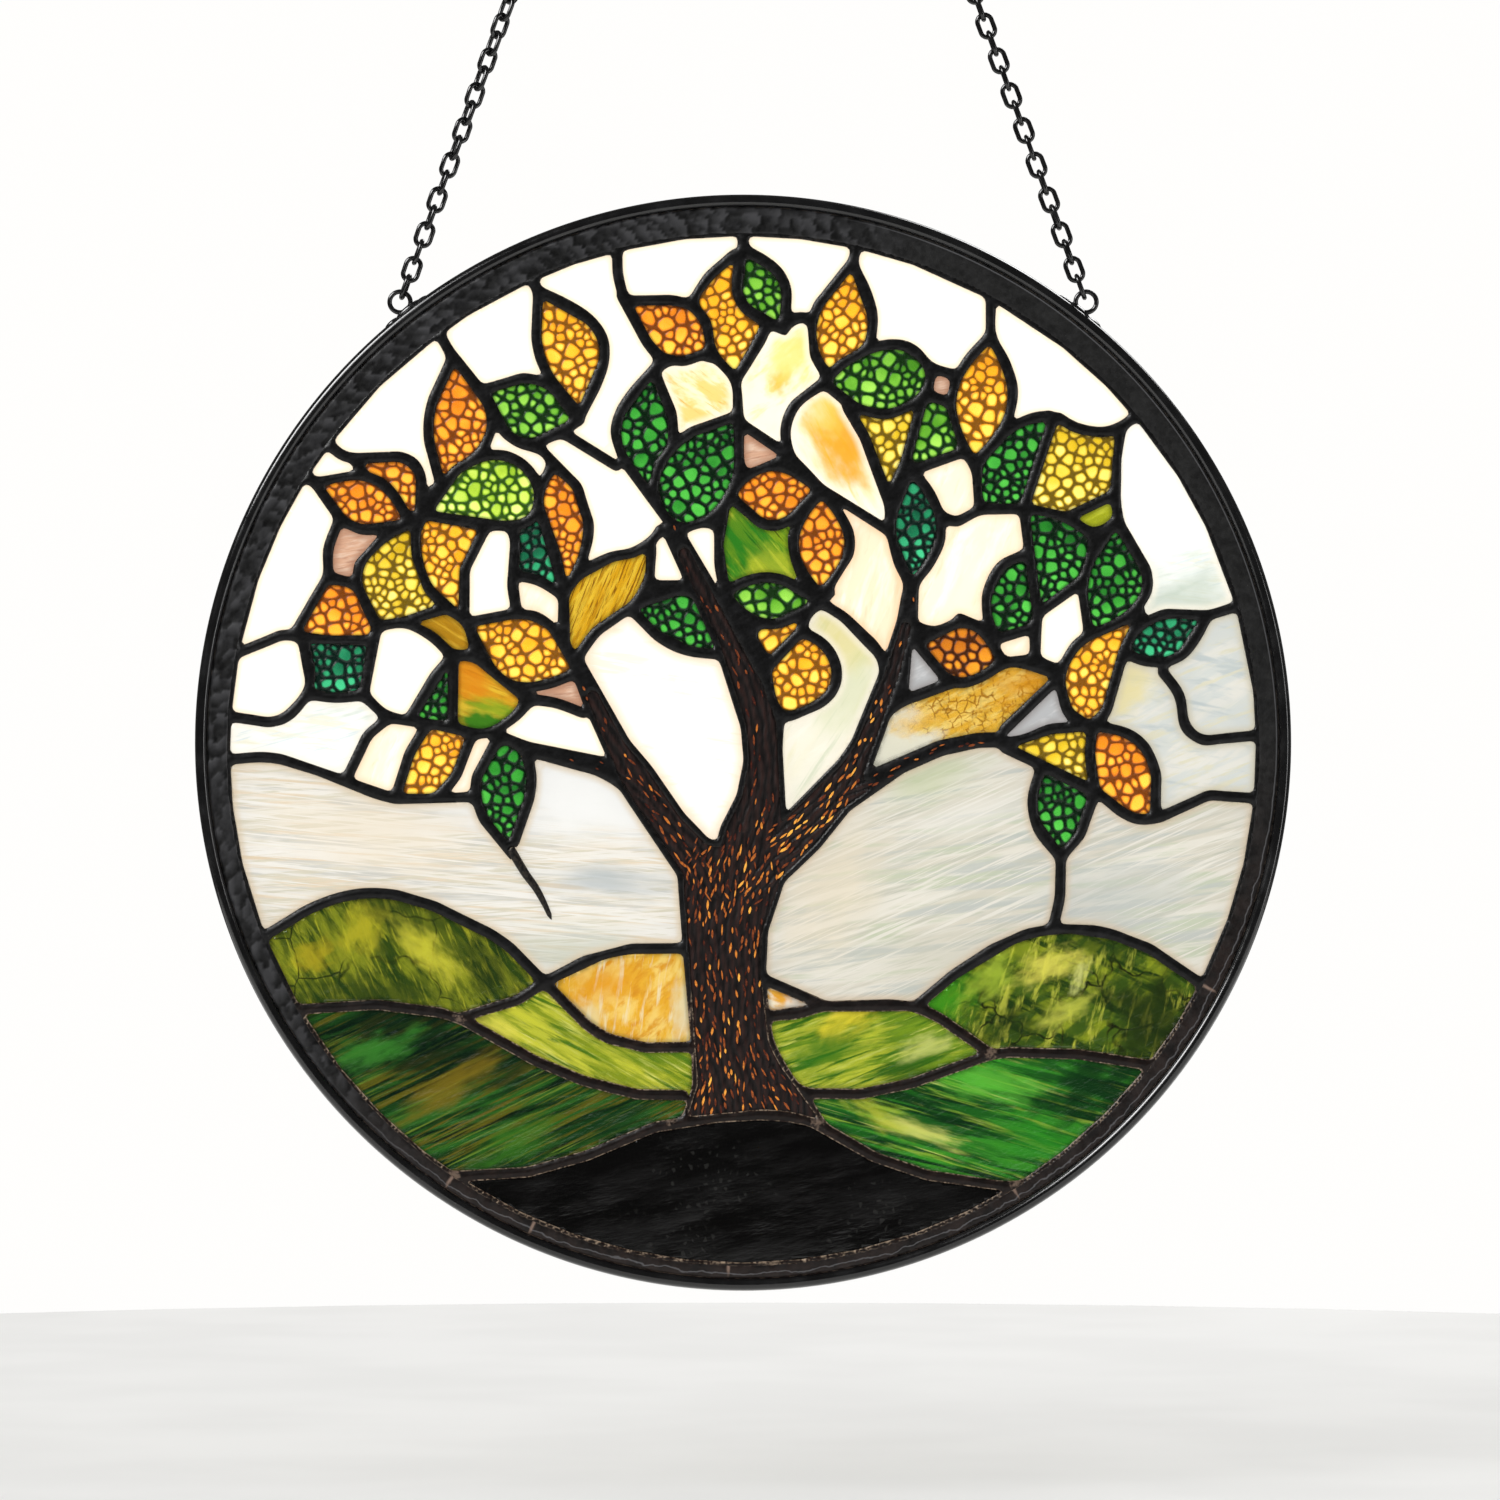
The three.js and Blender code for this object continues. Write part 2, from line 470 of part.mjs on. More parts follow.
// All the lead of the panel as one solid, drawn in the order in which the shapes overlap.
function traceLead() {
  const half = LEAD_WIDTH / 2;
  const rim = lowered(circle(GLASS_RADIUS + BEAD - GAP), GLASS_DROP);
  const inside = lowered(circle(GLASS_RADIUS), GLASS_DROP);
  const clearDepth = LEAD_DEPTH + 2;
  let lead = joined([
    plate(rim, LEAD_DEPTH, inside),
    ...[...LEAD_LINES, ...HILL_LINES].map((line) =>
      plate(ribbon(smooth(line), LEAD_WIDTH), LEAD_DEPTH)),
  ]);
  const frameIn = (outline) => {
    lead = lead.add(plate(offset(outline, half), LEAD_DEPTH));
    lead = lead.subtract(plate(offset(outline, -half), clearDepth));
  };
  BACK_LEAVES.forEach((one) => frameIn(leafOutline(one)));
  lead = lead.add(tree(0, LEAD_DEPTH).subtract(groundPrism(-half, clearDepth)));
  lead = lead.subtract(tree(2 * BARK_EDGE, clearDepth).subtract(groundPrism(half, clearDepth)));
  LEAVES.forEach((one) => frameIn(leafOutline(one)));
  ROUND_PANES.forEach(({ loop }) => frameIn(smooth(loop).slice(1)));
  return lead.intersect(plate(rim, LEAD_DEPTH));
}

// Everything below the ground line, where the tree stops.
function groundPrism(half, depth) {
  const line = smooth(GROUND_LINE);
  const low = -FRAME_RADIUS;
  const outline = [...line, point([line.at(-1).x, low]), point([line[0].x, low])];
  return plate(offset(outline, half), depth);
}

// The closed loops round the front face of a flat solid, with the solid on their left.
function faceLoops(solid) {
  const { vertProperties, triVerts } = solid.getMesh();
  const front = solid.boundingBox().min[1] + FLAT;
  const at = (index) =>
    new THREE.Vector2(vertProperties[3 * index], vertProperties[3 * index + 2]);
  const edges = new Set();
  for (let i = 0; i < triVerts.length; i += 3) {
    const face = [triVerts[i], triVerts[i + 1], triVerts[i + 2]];
    if (face.some((index) => vertProperties[3 * index + 1] > front)) continue;
    face.forEach((index, k) => edges.add(`${index} ${face[(k + 1) % 3]}`));
  }
  const next = new Map();
  for (const edge of edges) {
    const [from, to] = edge.split(' ').map(Number);
    if (!edges.has(`${to} ${from}`)) next.set(from, [...(next.get(from) ?? []), to]);
  }
  // Where two openings meet at a point, the way on stays beside the same opening.
  const wayOn = (before, here) => {
    const back = at(before).sub(at(here)).angle();
    const turn = (to) => (at(to).sub(at(here)).angle() - back + 2 * Math.PI) % (2 * Math.PI);
    return next.get(here).reduce((best, to) => (turn(to) < turn(best) ? to : best));
  };
  const loops = [];
  while (next.size > 0) {
    let [here] = next.keys();
    let [to] = next.get(here);
    const loop = [];
    while (to !== undefined) {
      loop.push(at(here));
      const others = next.get(here).filter((one) => one !== to);
      if (others.length > 0) next.set(here, others);
      else next.delete(here);
      const before = here;
      here = to;
      to = next.has(here) ? wayOn(before, here) : undefined;
    }
    loops.push(loop);
  }
  return loops;
}

// A loop without the points that hardly bend it: the flattest goes first.
function tidied(loop) {
  const points = [...loop];
  const bend = (i) => {
    const before = points[(i + points.length - 1) % points.length];
    const after = points[(i + 1) % points.length];
    const chord = after.clone().sub(before);
    const side = points[i].clone().sub(before);
    return chord.length() < 0.01 ? 0 : Math.abs(chord.cross(side)) / chord.length();
  };
  while (points.length > 3) {
    const bends = points.map((_, i) => bend(i));
    const least = Math.min(...bends);
    if (least > TIDY) break;
    points.splice(bends.indexOf(least), 1);
  }
  return points;
}

const areaOf = (loop) => Math.abs(THREE.ShapeUtils.area(loop));

// Whether a loop holds the point x, z.
function holds(loop, x, z) {
  let inside = false;
  loop.forEach((a, i) => {
    const b = loop[(i + 1) % loop.length];
    const crosses = (a.y > z) !== (b.y > z);
    if (crosses && x < a.x + (b.x - a.x) * (z - a.y) / (b.y - a.y)) inside = !inside;
  });
  return inside;
}

function glassIn(loop) {
  const leafSeed = ({ glass, base, tip, left, right }) => {
    const axis = new THREE.Vector2(tip[0] - base[0], tip[1] - base[1]);
    const lean = (left - right) / 2 / axis.length();
    return [glass, (base[0] + tip[0]) / 2 - axis.y * lean, (base[1] + tip[1]) / 2 + axis.x * lean];
  };
  const seeds = [
    ...GLASS_AT,
    ...LEAVES.map(leafSeed),
    ...BACK_LEAVES.map(leafSeed),
    ...ROUND_PANES.map(({ glass, at }) => [glass, ...at]),
  ];
  const hit = seeds.find(([, x, z]) => holds(loop, x, z));
  return hit ? hit[0] : 'sky';
}

// ---- Pieces -----------------------------------------------------------------------------

function addMesh(parent, name, finish, geometry) {
  const mesh = new THREE.Mesh(geometry, new THREE.MeshStandardMaterial(FINISH[finish]));
  mesh.name = name;
  parent.add(mesh);
  return mesh;
}

// A round wire ring in the XZ plane.
function wireRing(radius, wire, { sides, steps }) {
  return toSolid(new THREE.TorusGeometry(radius, wire, sides, steps).rotateX(Math.PI / 2));
}

const eyeCentre = (side) => {
  const turn = side * THREE.MathUtils.degToRad(EYE_ANGLE);
  const reach = FRAME_RADIUS + EYE_RADIUS;
  return new THREE.Vector2(reach * Math.sin(turn), reach * Math.cos(turn));
};

// The outer black ring: a bar with softened outer corners, and an eye welded on at each side.
function makeFrame(panel) {
  const inner = FRAME_RADIUS - FRAME_TUBE;
  const half = FRAME_DEPTH / 2;
  const profile = [
    [inner, -half], [FRAME_RADIUS - FRAME_CHAMFER, -half], [FRAME_RADIUS, -half + FRAME_CHAMFER],
    [FRAME_RADIUS, half - FRAME_CHAMFER], [FRAME_RADIUS - FRAME_CHAMFER, half], [inner, half],
    [inner, -half],
  ].map(([x, y]) => new THREE.Vector2(x, y));
  let frame = toSolid(new THREE.LatheGeometry(profile, ROUND_STEPS));
  for (const side of [-1, 1]) {
    const eye = eyeCentre(side);
    frame = frame.add(wireRing(EYE_RADIUS, WIRE_RADIUS, EYE_FACETS).translate(eye.x, 0, eye.y));
  }
  addMesh(panel, 'round_frame', 'black_metal', toGeometry(frame));
}

// The grey border came between the outer tube and the glass.
function makeBorder(panel) {
  const outer = circle(FRAME_RADIUS - FRAME_TUBE - GAP);
  const inner = lowered(circle(GLASS_RADIUS + BEAD), GLASS_DROP);
  addMesh(panel, 'border_came', 'grey_came', plateGeometry(outer, BORDER_DEPTH, inner));
}

// The lead lines and every pane between them. The largest panes are pieces of their own; the
// rest are webs of glass in the lead that grips them, sunk in front and level behind.
function makePanel(panel, spareNodes) {
  const loops = faceLoops(traceLead())
    .filter((loop) => areaOf(loop) > SMALLEST_PANE)
    .sort((a, b) => areaOf(b) - areaOf(a))
    .map(tidied);
  const [rim, ...openings] = loops;
  const lead = new THREE.Shape(wound(rim, 1));
  lead.holes = openings.map((loop) => new THREE.Path(wound(loop, -1)));
  const webDepth = (LEAD_DEPTH + GLASS_THICKNESS) / 2;
  const webs = openings.slice(spareNodes).map((loop) =>
    plate(offset(loop, LEAD_GRIP), webDepth).translate(0, (LEAD_DEPTH - webDepth) / 2, 0));
  const wireFace = (GLASS_THICKNESS + WIRE_DEPTH) / 2 + GAP;
  const tendrils = TENDRILS.map((line) =>
    plate(ribbon(smooth(line), WIRE_WIDTH), WIRE_DEPTH).translate(0, -wireFace, 0));
  const came = joined([toSolid(uprightGeometry(lead, LEAD_DEPTH)), ...webs, ...tendrils]);
  addMesh(panel, 'lead_came', 'dark_lead', toGeometry(came));

  const count = {};
  const leftEdge = (loop) => Math.min(...loop.map(({ x }) => x));
  openings.slice(0, spareNodes).sort((a, b) => leftEdge(a) - leftEdge(b)).forEach((loop) => {
    const glass = glassIn(loop);
    count[glass] = (count[glass] ?? 0) + 1;
    const name = PANE_NAME[glass].replace('#', count[glass]);
    addMesh(panel, name, glass, plateGeometry(offset(loop, -GAP), GLASS_THICKNESS));
  });
}

// One chain link, long axis along X: four straight sides of a wire with three faces, an edge of
// the wire turned inward. The three-sided wire is a third larger, to look as thick as a round one.
function chainLink(pitch) {
  const wire = WIRE_RADIUS * 4 / 3;
  const sides = 4;
  const faces = 3;
  const across = LINK_WIDTH / 2 - wire / 2;
  const innerReach = (across - wire) * Math.cos(Math.PI / sides);
  const stretch = (pitch - LINK_BITE) / 2 - innerReach;
  const position = [];
  const index = [];
  for (let i = 0; i < sides; i += 1) {
    const turn = ((i + 0.5) / sides) * 2 * Math.PI;
    const shift = Math.abs(Math.cos(turn)) < 0.01 ? 0 : Math.sign(Math.cos(turn)) * stretch;
    for (let k = 0; k < faces; k += 1) {
      const roll = Math.PI + (k / faces) * 2 * Math.PI;
      const reach = across + wire * Math.cos(roll);
      position.push(reach * Math.cos(turn) + shift, reach * Math.sin(turn), wire * Math.sin(roll));
      const a = i * faces + k;
      const b = i * faces + (k + 1) % faces;
      const c = ((i + 1) % sides) * faces + k;
      const d = ((i + 1) % sides) * faces + (k + 1) % faces;
      index.push(a, c, b, b, c, d);
    }
  }
  const geometry = new THREE.BufferGeometry();
  geometry.setAttribute('position', new THREE.Float32BufferAttribute(position, 3));
  geometry.setIndex(index);
  return toSolid(geometry);
}

// A chain from one eye of the frame up to the hanging ring, its links joined into one solid.
function makeChain(panel, name, side, twist) {
  const eye = eyeCentre(side);
  const top = new THREE.Vector2(0, HANG_HEIGHT);
  const line = top.clone().sub(eye);
  const slack = (inner) => inner - GAP;
  const eyeRoom = slack(EYE_RADIUS - WIRE_RADIUS);
  const ringRoom = slack(HANG_RADIUS - HANG_WIRE);
  const pitch = (line.length() - eyeRoom - ringRoom) / LINK_COUNT;
  const heading = THREE.MathUtils.radToDeg(line.angle());
  const links = [];
  for (let i = 0; i < LINK_COUNT; i += 1) {
    const roll = (i % 2 === 0 ? 90 : 0)
      + THREE.MathUtils.radToDeg(twist) * Math.sin(Math.PI * i / (LINK_COUNT - 1));
    const centre = line.clone().setLength(eyeRoom + pitch * (i + 0.5)).add(eye);
    links.push(chainLink(pitch)
      .rotate([90, 0, 0])
      .rotate([roll, 0, 0])
      .rotate([0, -heading, 0])
      .translate(centre.x, 0, centre.y));
  }
  addMesh(panel, name, 'black_metal', toGeometry(joined(links)));
}

function makeHangingRing(panel) {
  const ring = wireRing(HANG_RADIUS, HANG_WIRE, HANG_FACETS).translate(0, 0, HANG_HEIGHT);
  addMesh(panel, 'hanging_ring', 'black_metal', toGeometry(ring));
}

// ---- The whole object -------------------------------------------------------------------

const suncatcher = new THREE.Group();
const panel = new THREE.Group();
panel.position.z = -(HANG_HEIGHT + HANG_RADIUS - HANG_WIRE);
suncatcher.add(panel);

makeHangingRing(panel);
makeChain(panel, 'left_chain', -1, CHAIN_TWIST.left);
makeChain(panel, 'right_chain', 1, CHAIN_TWIST.right);
makeFrame(panel);
makeBorder(panel);
makePanel(panel, NODE_LIMIT - panel.children.length - 1);

export default suncatcher;
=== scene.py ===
import math

import bpy
import numpy as np
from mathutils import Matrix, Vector


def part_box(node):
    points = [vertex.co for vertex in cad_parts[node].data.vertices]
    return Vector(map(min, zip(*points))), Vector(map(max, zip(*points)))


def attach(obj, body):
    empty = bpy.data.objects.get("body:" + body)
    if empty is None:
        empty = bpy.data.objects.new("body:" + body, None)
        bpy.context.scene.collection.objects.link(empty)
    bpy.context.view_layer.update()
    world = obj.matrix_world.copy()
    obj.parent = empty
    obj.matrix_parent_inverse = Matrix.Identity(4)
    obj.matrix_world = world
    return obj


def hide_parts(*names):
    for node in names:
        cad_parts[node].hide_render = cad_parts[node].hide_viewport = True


SEED = 11
MM = 0.001

# Everything below is in millimetres from the middle of the round panel, with x to the right,
# z up and y away from the viewer. The panel hangs this far below the ring it hangs from.
PANEL_DROP = 386.0

# Depths of the faces of the lead, the glass and the round frame, from the middle plane.
LEAD_FRONT = 2.5
GLASS_FRONT = 1.5
FRAME_HALF = 3.5

# The metalwork.
FRAME_RADIUS = 150.0
FRAME_TUBE = 3.6
BORDER_OUTER = 146.65
BORDER_INNER = 141.5
BORDER_DROP = 1.8
BORDER_LAP = 0.7                 # of the border over the lead
EYE_ANGLE = 37.9
EYE_RADIUS = 2.85
WIRE_RADIUS = 0.65
HANG_HEIGHT = 380.0
HANG_RADIUS = 7.0
HANG_WIRE = 1.0
LINK_COUNT = 53
EYE_ROOM = 1.9                   # from an eye's middle to the first pitch of its chain
RING_ROOM = 5.7                  # from a chain's last pitch to the hanging ring's middle
LINK_WIDTH = 6.0
CHAIN_TWIST = {"left": math.pi / 4, "right": 0.0}

# The grid that the lead and glass surfaces are sampled on, square, with its middle at the
# panel's.
STEP = 0.4
HALF_SPAN = 146.8

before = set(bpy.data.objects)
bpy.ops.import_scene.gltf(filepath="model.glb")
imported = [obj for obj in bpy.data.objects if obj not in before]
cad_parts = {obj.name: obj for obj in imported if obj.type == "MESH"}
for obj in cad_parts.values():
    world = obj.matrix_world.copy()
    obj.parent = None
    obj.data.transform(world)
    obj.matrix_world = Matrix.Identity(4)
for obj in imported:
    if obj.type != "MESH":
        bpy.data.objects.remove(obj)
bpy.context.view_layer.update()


# ---- Camera --------------------------------------------------------------------------------

VIEW_WIDTH = 410.6 * MM
CAMERA_DISTANCE = 2.0
SENSOR = 36.0
AIM = Vector((1.9 * MM, 0, -(PANEL_DROP + 2.0) * MM))

camera_data = bpy.data.cameras.new("camera")
camera_data.sensor_width = SENSOR
camera_data.lens = SENSOR * CAMERA_DISTANCE / VIEW_WIDTH
camera_data.clip_end = 60
camera = bpy.data.objects.new("camera", camera_data)
camera.location = AIM + Vector((0, -CAMERA_DISTANCE, 0))
camera.rotation_euler = (math.radians(90), 0, 0)
bpy.context.scene.collection.objects.link(camera)
bpy.context.scene.camera = camera


# ---- Outlines of the openings --------------------------------------------------------------

def face_outlines(node, depth):
    """The loops that bound the flat faces of a CAD node at one depth, in panel millimetres."""
    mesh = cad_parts[node].data
    at = np.array([v.co for v in mesh.vertices]) / MM
    key = {}
    same = []
    for x, y, z in at:
        same.append(key.setdefault((round(x, 2), round(y, 2), round(z, 2)), len(key)))
    place = np.zeros((len(key), 3))
    for old, new in enumerate(same):
        place[new] = at[old]
    sides = set()
    for face in mesh.polygons:
        corners = [same[v] for v in face.vertices]
        if all(abs(place[c][1] + depth) < 0.02 for c in corners):
            sides.update(zip(corners, corners[1:] + corners[:1]))
    onward = {}
    for a, b in sides:
        if (b, a) not in sides:
            onward.setdefault(a, []).append(b)

    def turn(a, b, c):
        one = place[b] - place[a]
        two = place[c] - place[b]
        return math.atan2(one[0] * two[2] - one[2] * two[0], one[0] * two[0] + one[2] * two[2])

    loops = []
    while onward:
        first = next(iter(onward))
        loop = [first]
        here = onward[first].pop()
        if not onward[first]:
            del onward[first]
        while here != first:
            ways = onward[here]
            way = min(ways, key=lambda w: turn(loop[-1], here, w))
            ways.remove(way)
            if not ways:
                del onward[here]
            loop.append(here)
            here = way
        loops.append(place[loop][:, [0, 2]] + [0, PANEL_DROP])
    return loops


def area_of(loop):
    """The area inside a loop, less than nothing where it runs clockwise."""
    x, z = loop[:, 0], loop[:, 1]
    return 0.5 * float(np.sum(x * np.roll(z, -1) - z * np.roll(x, -1)))


CORNER = math.radians(38)
CURVE_STEP = 0.9
LONG_SIDE = 9.0
CORNER_ROUND = 1.0


def softened(loop):
    """The outline as a smooth curve that keeps its corners, which are only rounded a little."""
    points = []
    count = len(loop)
    for i in range(count):
        a, b = loop[i], loop[(i + 1) % count]
        points.append(a)
        length = np.linalg.norm(b - a)
        if length > LONG_SIDE:
            inset = min(length / 3, 3.0) / length
            points += [a + (b - a) * inset, b - (b - a) * inset]
    points = np.array(points)
    count = len(points)
    before = points - np.roll(points, 1, axis=0)
    after = np.roll(points, -1, axis=0) - points
    bend = np.abs(np.arctan2(before[:, 0] * after[:, 1] - before[:, 1] * after[:, 0],
                             np.sum(before * after, axis=1)))
    sharp = bend > CORNER
    curve = []
    for i in range(count):
        p1, p2 = points[i], points[(i + 1) % count]
        p0 = p1 - (p2 - p1) if sharp[i] else points[i - 1]
        p3 = p2 + (p2 - p1) if sharp[(i + 1) % count] else points[(i + 2) % count]
        t = np.cumsum([0] + [max(np.linalg.norm(d), 1e-4) ** 0.5
                             for d in (p1 - p0, p2 - p1, p3 - p2)])
        steps = max(1, int(np.linalg.norm(p2 - p1) / CURVE_STEP))
        for s in range(steps):
            u = t[1] + (t[2] - t[1]) * s / steps
            a1 = p0 + (p1 - p0) * (u - t[0]) / (t[1] - t[0])
            a2 = p1 + (p2 - p1) * (u - t[1]) / (t[2] - t[1])
            a3 = p2 + (p3 - p2) * (u - t[2]) / (t[3] - t[2])
            b1 = a1 + (a2 - a1) * (u - t[0]) / (t[2] - t[0])
            b2 = a2 + (a3 - a2) * (u - t[1]) / (t[3] - t[1])
            curve.append(b1 + (b2 - b1) * (u - t[1]) / (t[2] - t[1]))
    curve = np.array(curve)
    for _ in range(2):
        nearby = (np.roll(curve, 1, axis=0) + np.roll(curve, -1, axis=0)) / 2
        pull = nearby - curve
        reach = np.linalg.norm(pull, axis=1, keepdims=True)
        curve = curve + pull * np.minimum(0.5, CORNER_ROUND / np.maximum(reach, 1e-6))
    return curve


# ---- Distances on a grid -------------------------------------------------------------------

SIDE = int(round(2 * HALF_SPAN / STEP)) + 1
AXIS = -HALF_SPAN + STEP * np.arange(SIDE)
GRID_X, GRID_Z = np.meshgrid(AXIS, AXIS, indexing="ij")
REACH = 4.0
LEAD = -1


def nearest_outline(loops):
    """For each grid point: the distance to the nearest outline, and which outline that is."""
    distance = np.full((SIDE, SIDE), REACH)
    owner = np.full((SIDE, SIDE), LEAD)
    for number, loop in enumerate(loops):
        for a, b in zip(loop, np.roll(loop, -1, axis=0)):
            low = np.floor((np.minimum(a, b) - REACH + HALF_SPAN) / STEP).astype(int)
            high = np.ceil((np.maximum(a, b) + REACH + HALF_SPAN) / STEP).astype(int)
            low = np.clip(low, 0, SIDE)
            high = np.clip(high, 0, SIDE)
            window = (slice(low[0], high[0]), slice(low[1], high[1]))
            x = GRID_X[window] - a[0]
            z = GRID_Z[window] - a[1]
            run = b - a
            share = np.clip((x * run[0] + z * run[1]) / max(float(run @ run), 1e-9), 0, 1)
            gap = np.hypot(x - share * run[0], z - share * run[1])
            closer = gap < distance[window]
            distance[window][closer] = gap[closer]
            owner[window][closer] = number
    return distance, owner


def fill(loop):
    """Which grid points lie inside an outline."""
    inside = np.zeros((SIDE, SIDE), bool)
    ends = np.roll(loop, -1, axis=0)
    low = max(int((loop[:, 0].min() + HALF_SPAN) / STEP), 0)
    high = min(int((loop[:, 0].max() + HALF_SPAN) / STEP) + 2, SIDE)
    for column in range(low, high):
        x = AXIS[column]
        crossing = (loop[:, 0] <= x) != (ends[:, 0] <= x)
        a, b = loop[crossing], ends[crossing]
        heights = np.sort(a[:, 1] + (b[:, 1] - a[:, 1]) * (x - a[:, 0]) / (b[:, 0] - a[:, 0]))
        for bottom, top in zip(heights[::2], heights[1::2]):
            inside[column, (AXIS > bottom) & (AXIS < top)] = True
    return inside


SPECK_AREA = 3.0
outlines = [loop for loop in face_outlines("lead_came", LEAD_FRONT)
            if abs(area_of(loop)) > SPECK_AREA]
outlines.sort(key=lambda loop: -abs(area_of(loop)))
openings = [softened(loop) for loop in outlines[1:]]
angles = np.linspace(0, 2 * math.pi, 480, endpoint=False)
rim = BORDER_INNER * np.stack([np.cos(angles), np.sin(angles)], axis=1) - [0, BORDER_DROP]
distance, nearest = nearest_outline(openings + [rim])
label = np.full((SIDE, SIDE), LEAD)
for number, loop in enumerate(openings):
    label[fill(loop)] = number
in_rim = fill(rim)


# ---- Surfaces from fields ------------------------------------------------------------------

def contour_cells(field, step):
    """The part of a grid where the field is positive, as points and faces. The edge faces are
    cut along the line where the field is zero."""
    places = {}
    points = []

    def corner(i, j):
        if (i, j) not in places:
            places[i, j] = len(points)
            points.append((AXIS[i], AXIS[j]))
        return places[i, j]

    def crossing(i, j, k, m):
        name = (i, j, k, m) if (i, j) < (k, m) else (k, m, i, j)
        if name not in places:
            a, b = field[name[0], name[1]], field[name[2], name[3]]
            share = min(max(a / (a - b), 0.04), 0.96)
            places[name] = len(points)
            points.append((AXIS[name[0]] + (AXIS[name[2]] - AXIS[name[0]]) * share,
                           AXIS[name[1]] + (AXIS[name[3]] - AXIS[name[1]]) * share))
        return places[name]

    inside = field[::step, ::step] > 0
    near = inside[:-1, :-1] | inside[1:, :-1] | inside[:-1, 1:] | inside[1:, 1:]
    faces = []
    for ci, cj in np.argwhere(near):
        i, j = ci * step, cj * step
        ring = [(i, j), (i + step, j), (i + step, j + step), (i, j + step)]
        state = [field[c] > 0 for c in ring]
        if all(state):
            faces.append([corner(*c) for c in ring])
            continue
        if sum(state) == 2 and state[0] == state[2]:
            for n in range(4):
                if state[n]:
                    faces.append([crossing(*ring[n - 1], *ring[n]), corner(*ring[n]),
                                  crossing(*ring[n], *ring[(n + 1) % 4])])
            continue
        face = []
        for n in range(4):
            if state[n]:
                face.append(corner(*ring[n]))
            if state[n] != state[(n + 1) % 4]:
                face.append(crossing(*ring[n], *ring[(n + 1) % 4]))
        faces.append(face)
    return np.array(points), faces


def sampled(field, points):
    """A grid field read between its points."""
    place = (points + HALF_SPAN) / STEP
    base = np.clip(np.floor(place).astype(int), 0, SIDE - 2)
    share = place - base
    i, j = base[:, 0], base[:, 1]
    u, v = share[:, 0], share[:, 1]
    return ((1 - u) * (1 - v) * field[i, j] + u * (1 - v) * field[i + 1, j]
            + (1 - u) * v * field[i, j + 1] + u * v * field[i + 1, j + 1])


def slab(name, field, front, back, step, values):
    """A closed piece over the part of the grid where the field is positive. front and back are
    functions from points to depths, and values holds those to the numbers that it carries."""
    points, faces = contour_cells(field, step)
    count = len(points)
    near_y = front(points)
    far_y = back(points)
    vertices = np.concatenate([
        np.stack([points[:, 0], near_y, points[:, 1] - PANEL_DROP], axis=1),
        np.stack([points[:, 0], far_y, points[:, 1] - PANEL_DROP], axis=1)]) * MM
    sides = set()
    for face in faces:
        sides.update(zip(face, face[1:] + face[:1]))
    rims = [(a, b) for a, b in sides if (b, a) not in sides]
    all_faces = faces + [[v + count for v in reversed(face)] for face in faces]
    all_faces += [[b, a, a + count, b + count] for a, b in sorted(rims)]
    mesh = bpy.data.meshes.new(name)
    mesh.from_pydata(vertices.tolist(), [], all_faces)
    smooth = np.ones(len(all_faces), bool)
    smooth[2 * len(faces):] = False
    mesh.polygons.foreach_set("use_smooth", smooth)
    for key, value in values.items():
        at = value(points)
        attribute = mesh.attributes.new(key, "FLOAT", "POINT")
        attribute.data.foreach_set("value", np.concatenate([at, at]).astype(np.float32))
    mesh.update()
    return add(name, mesh)


def add(name, mesh):
    """Puts a mesh into the scene as a piece of the object."""
    piece = bpy.data.objects.new(name, mesh)
    bpy.context.scene.collection.objects.link(piece)
    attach(piece, "root")
    return piece


# ---- Which glass an opening holds ----------------------------------------------------------

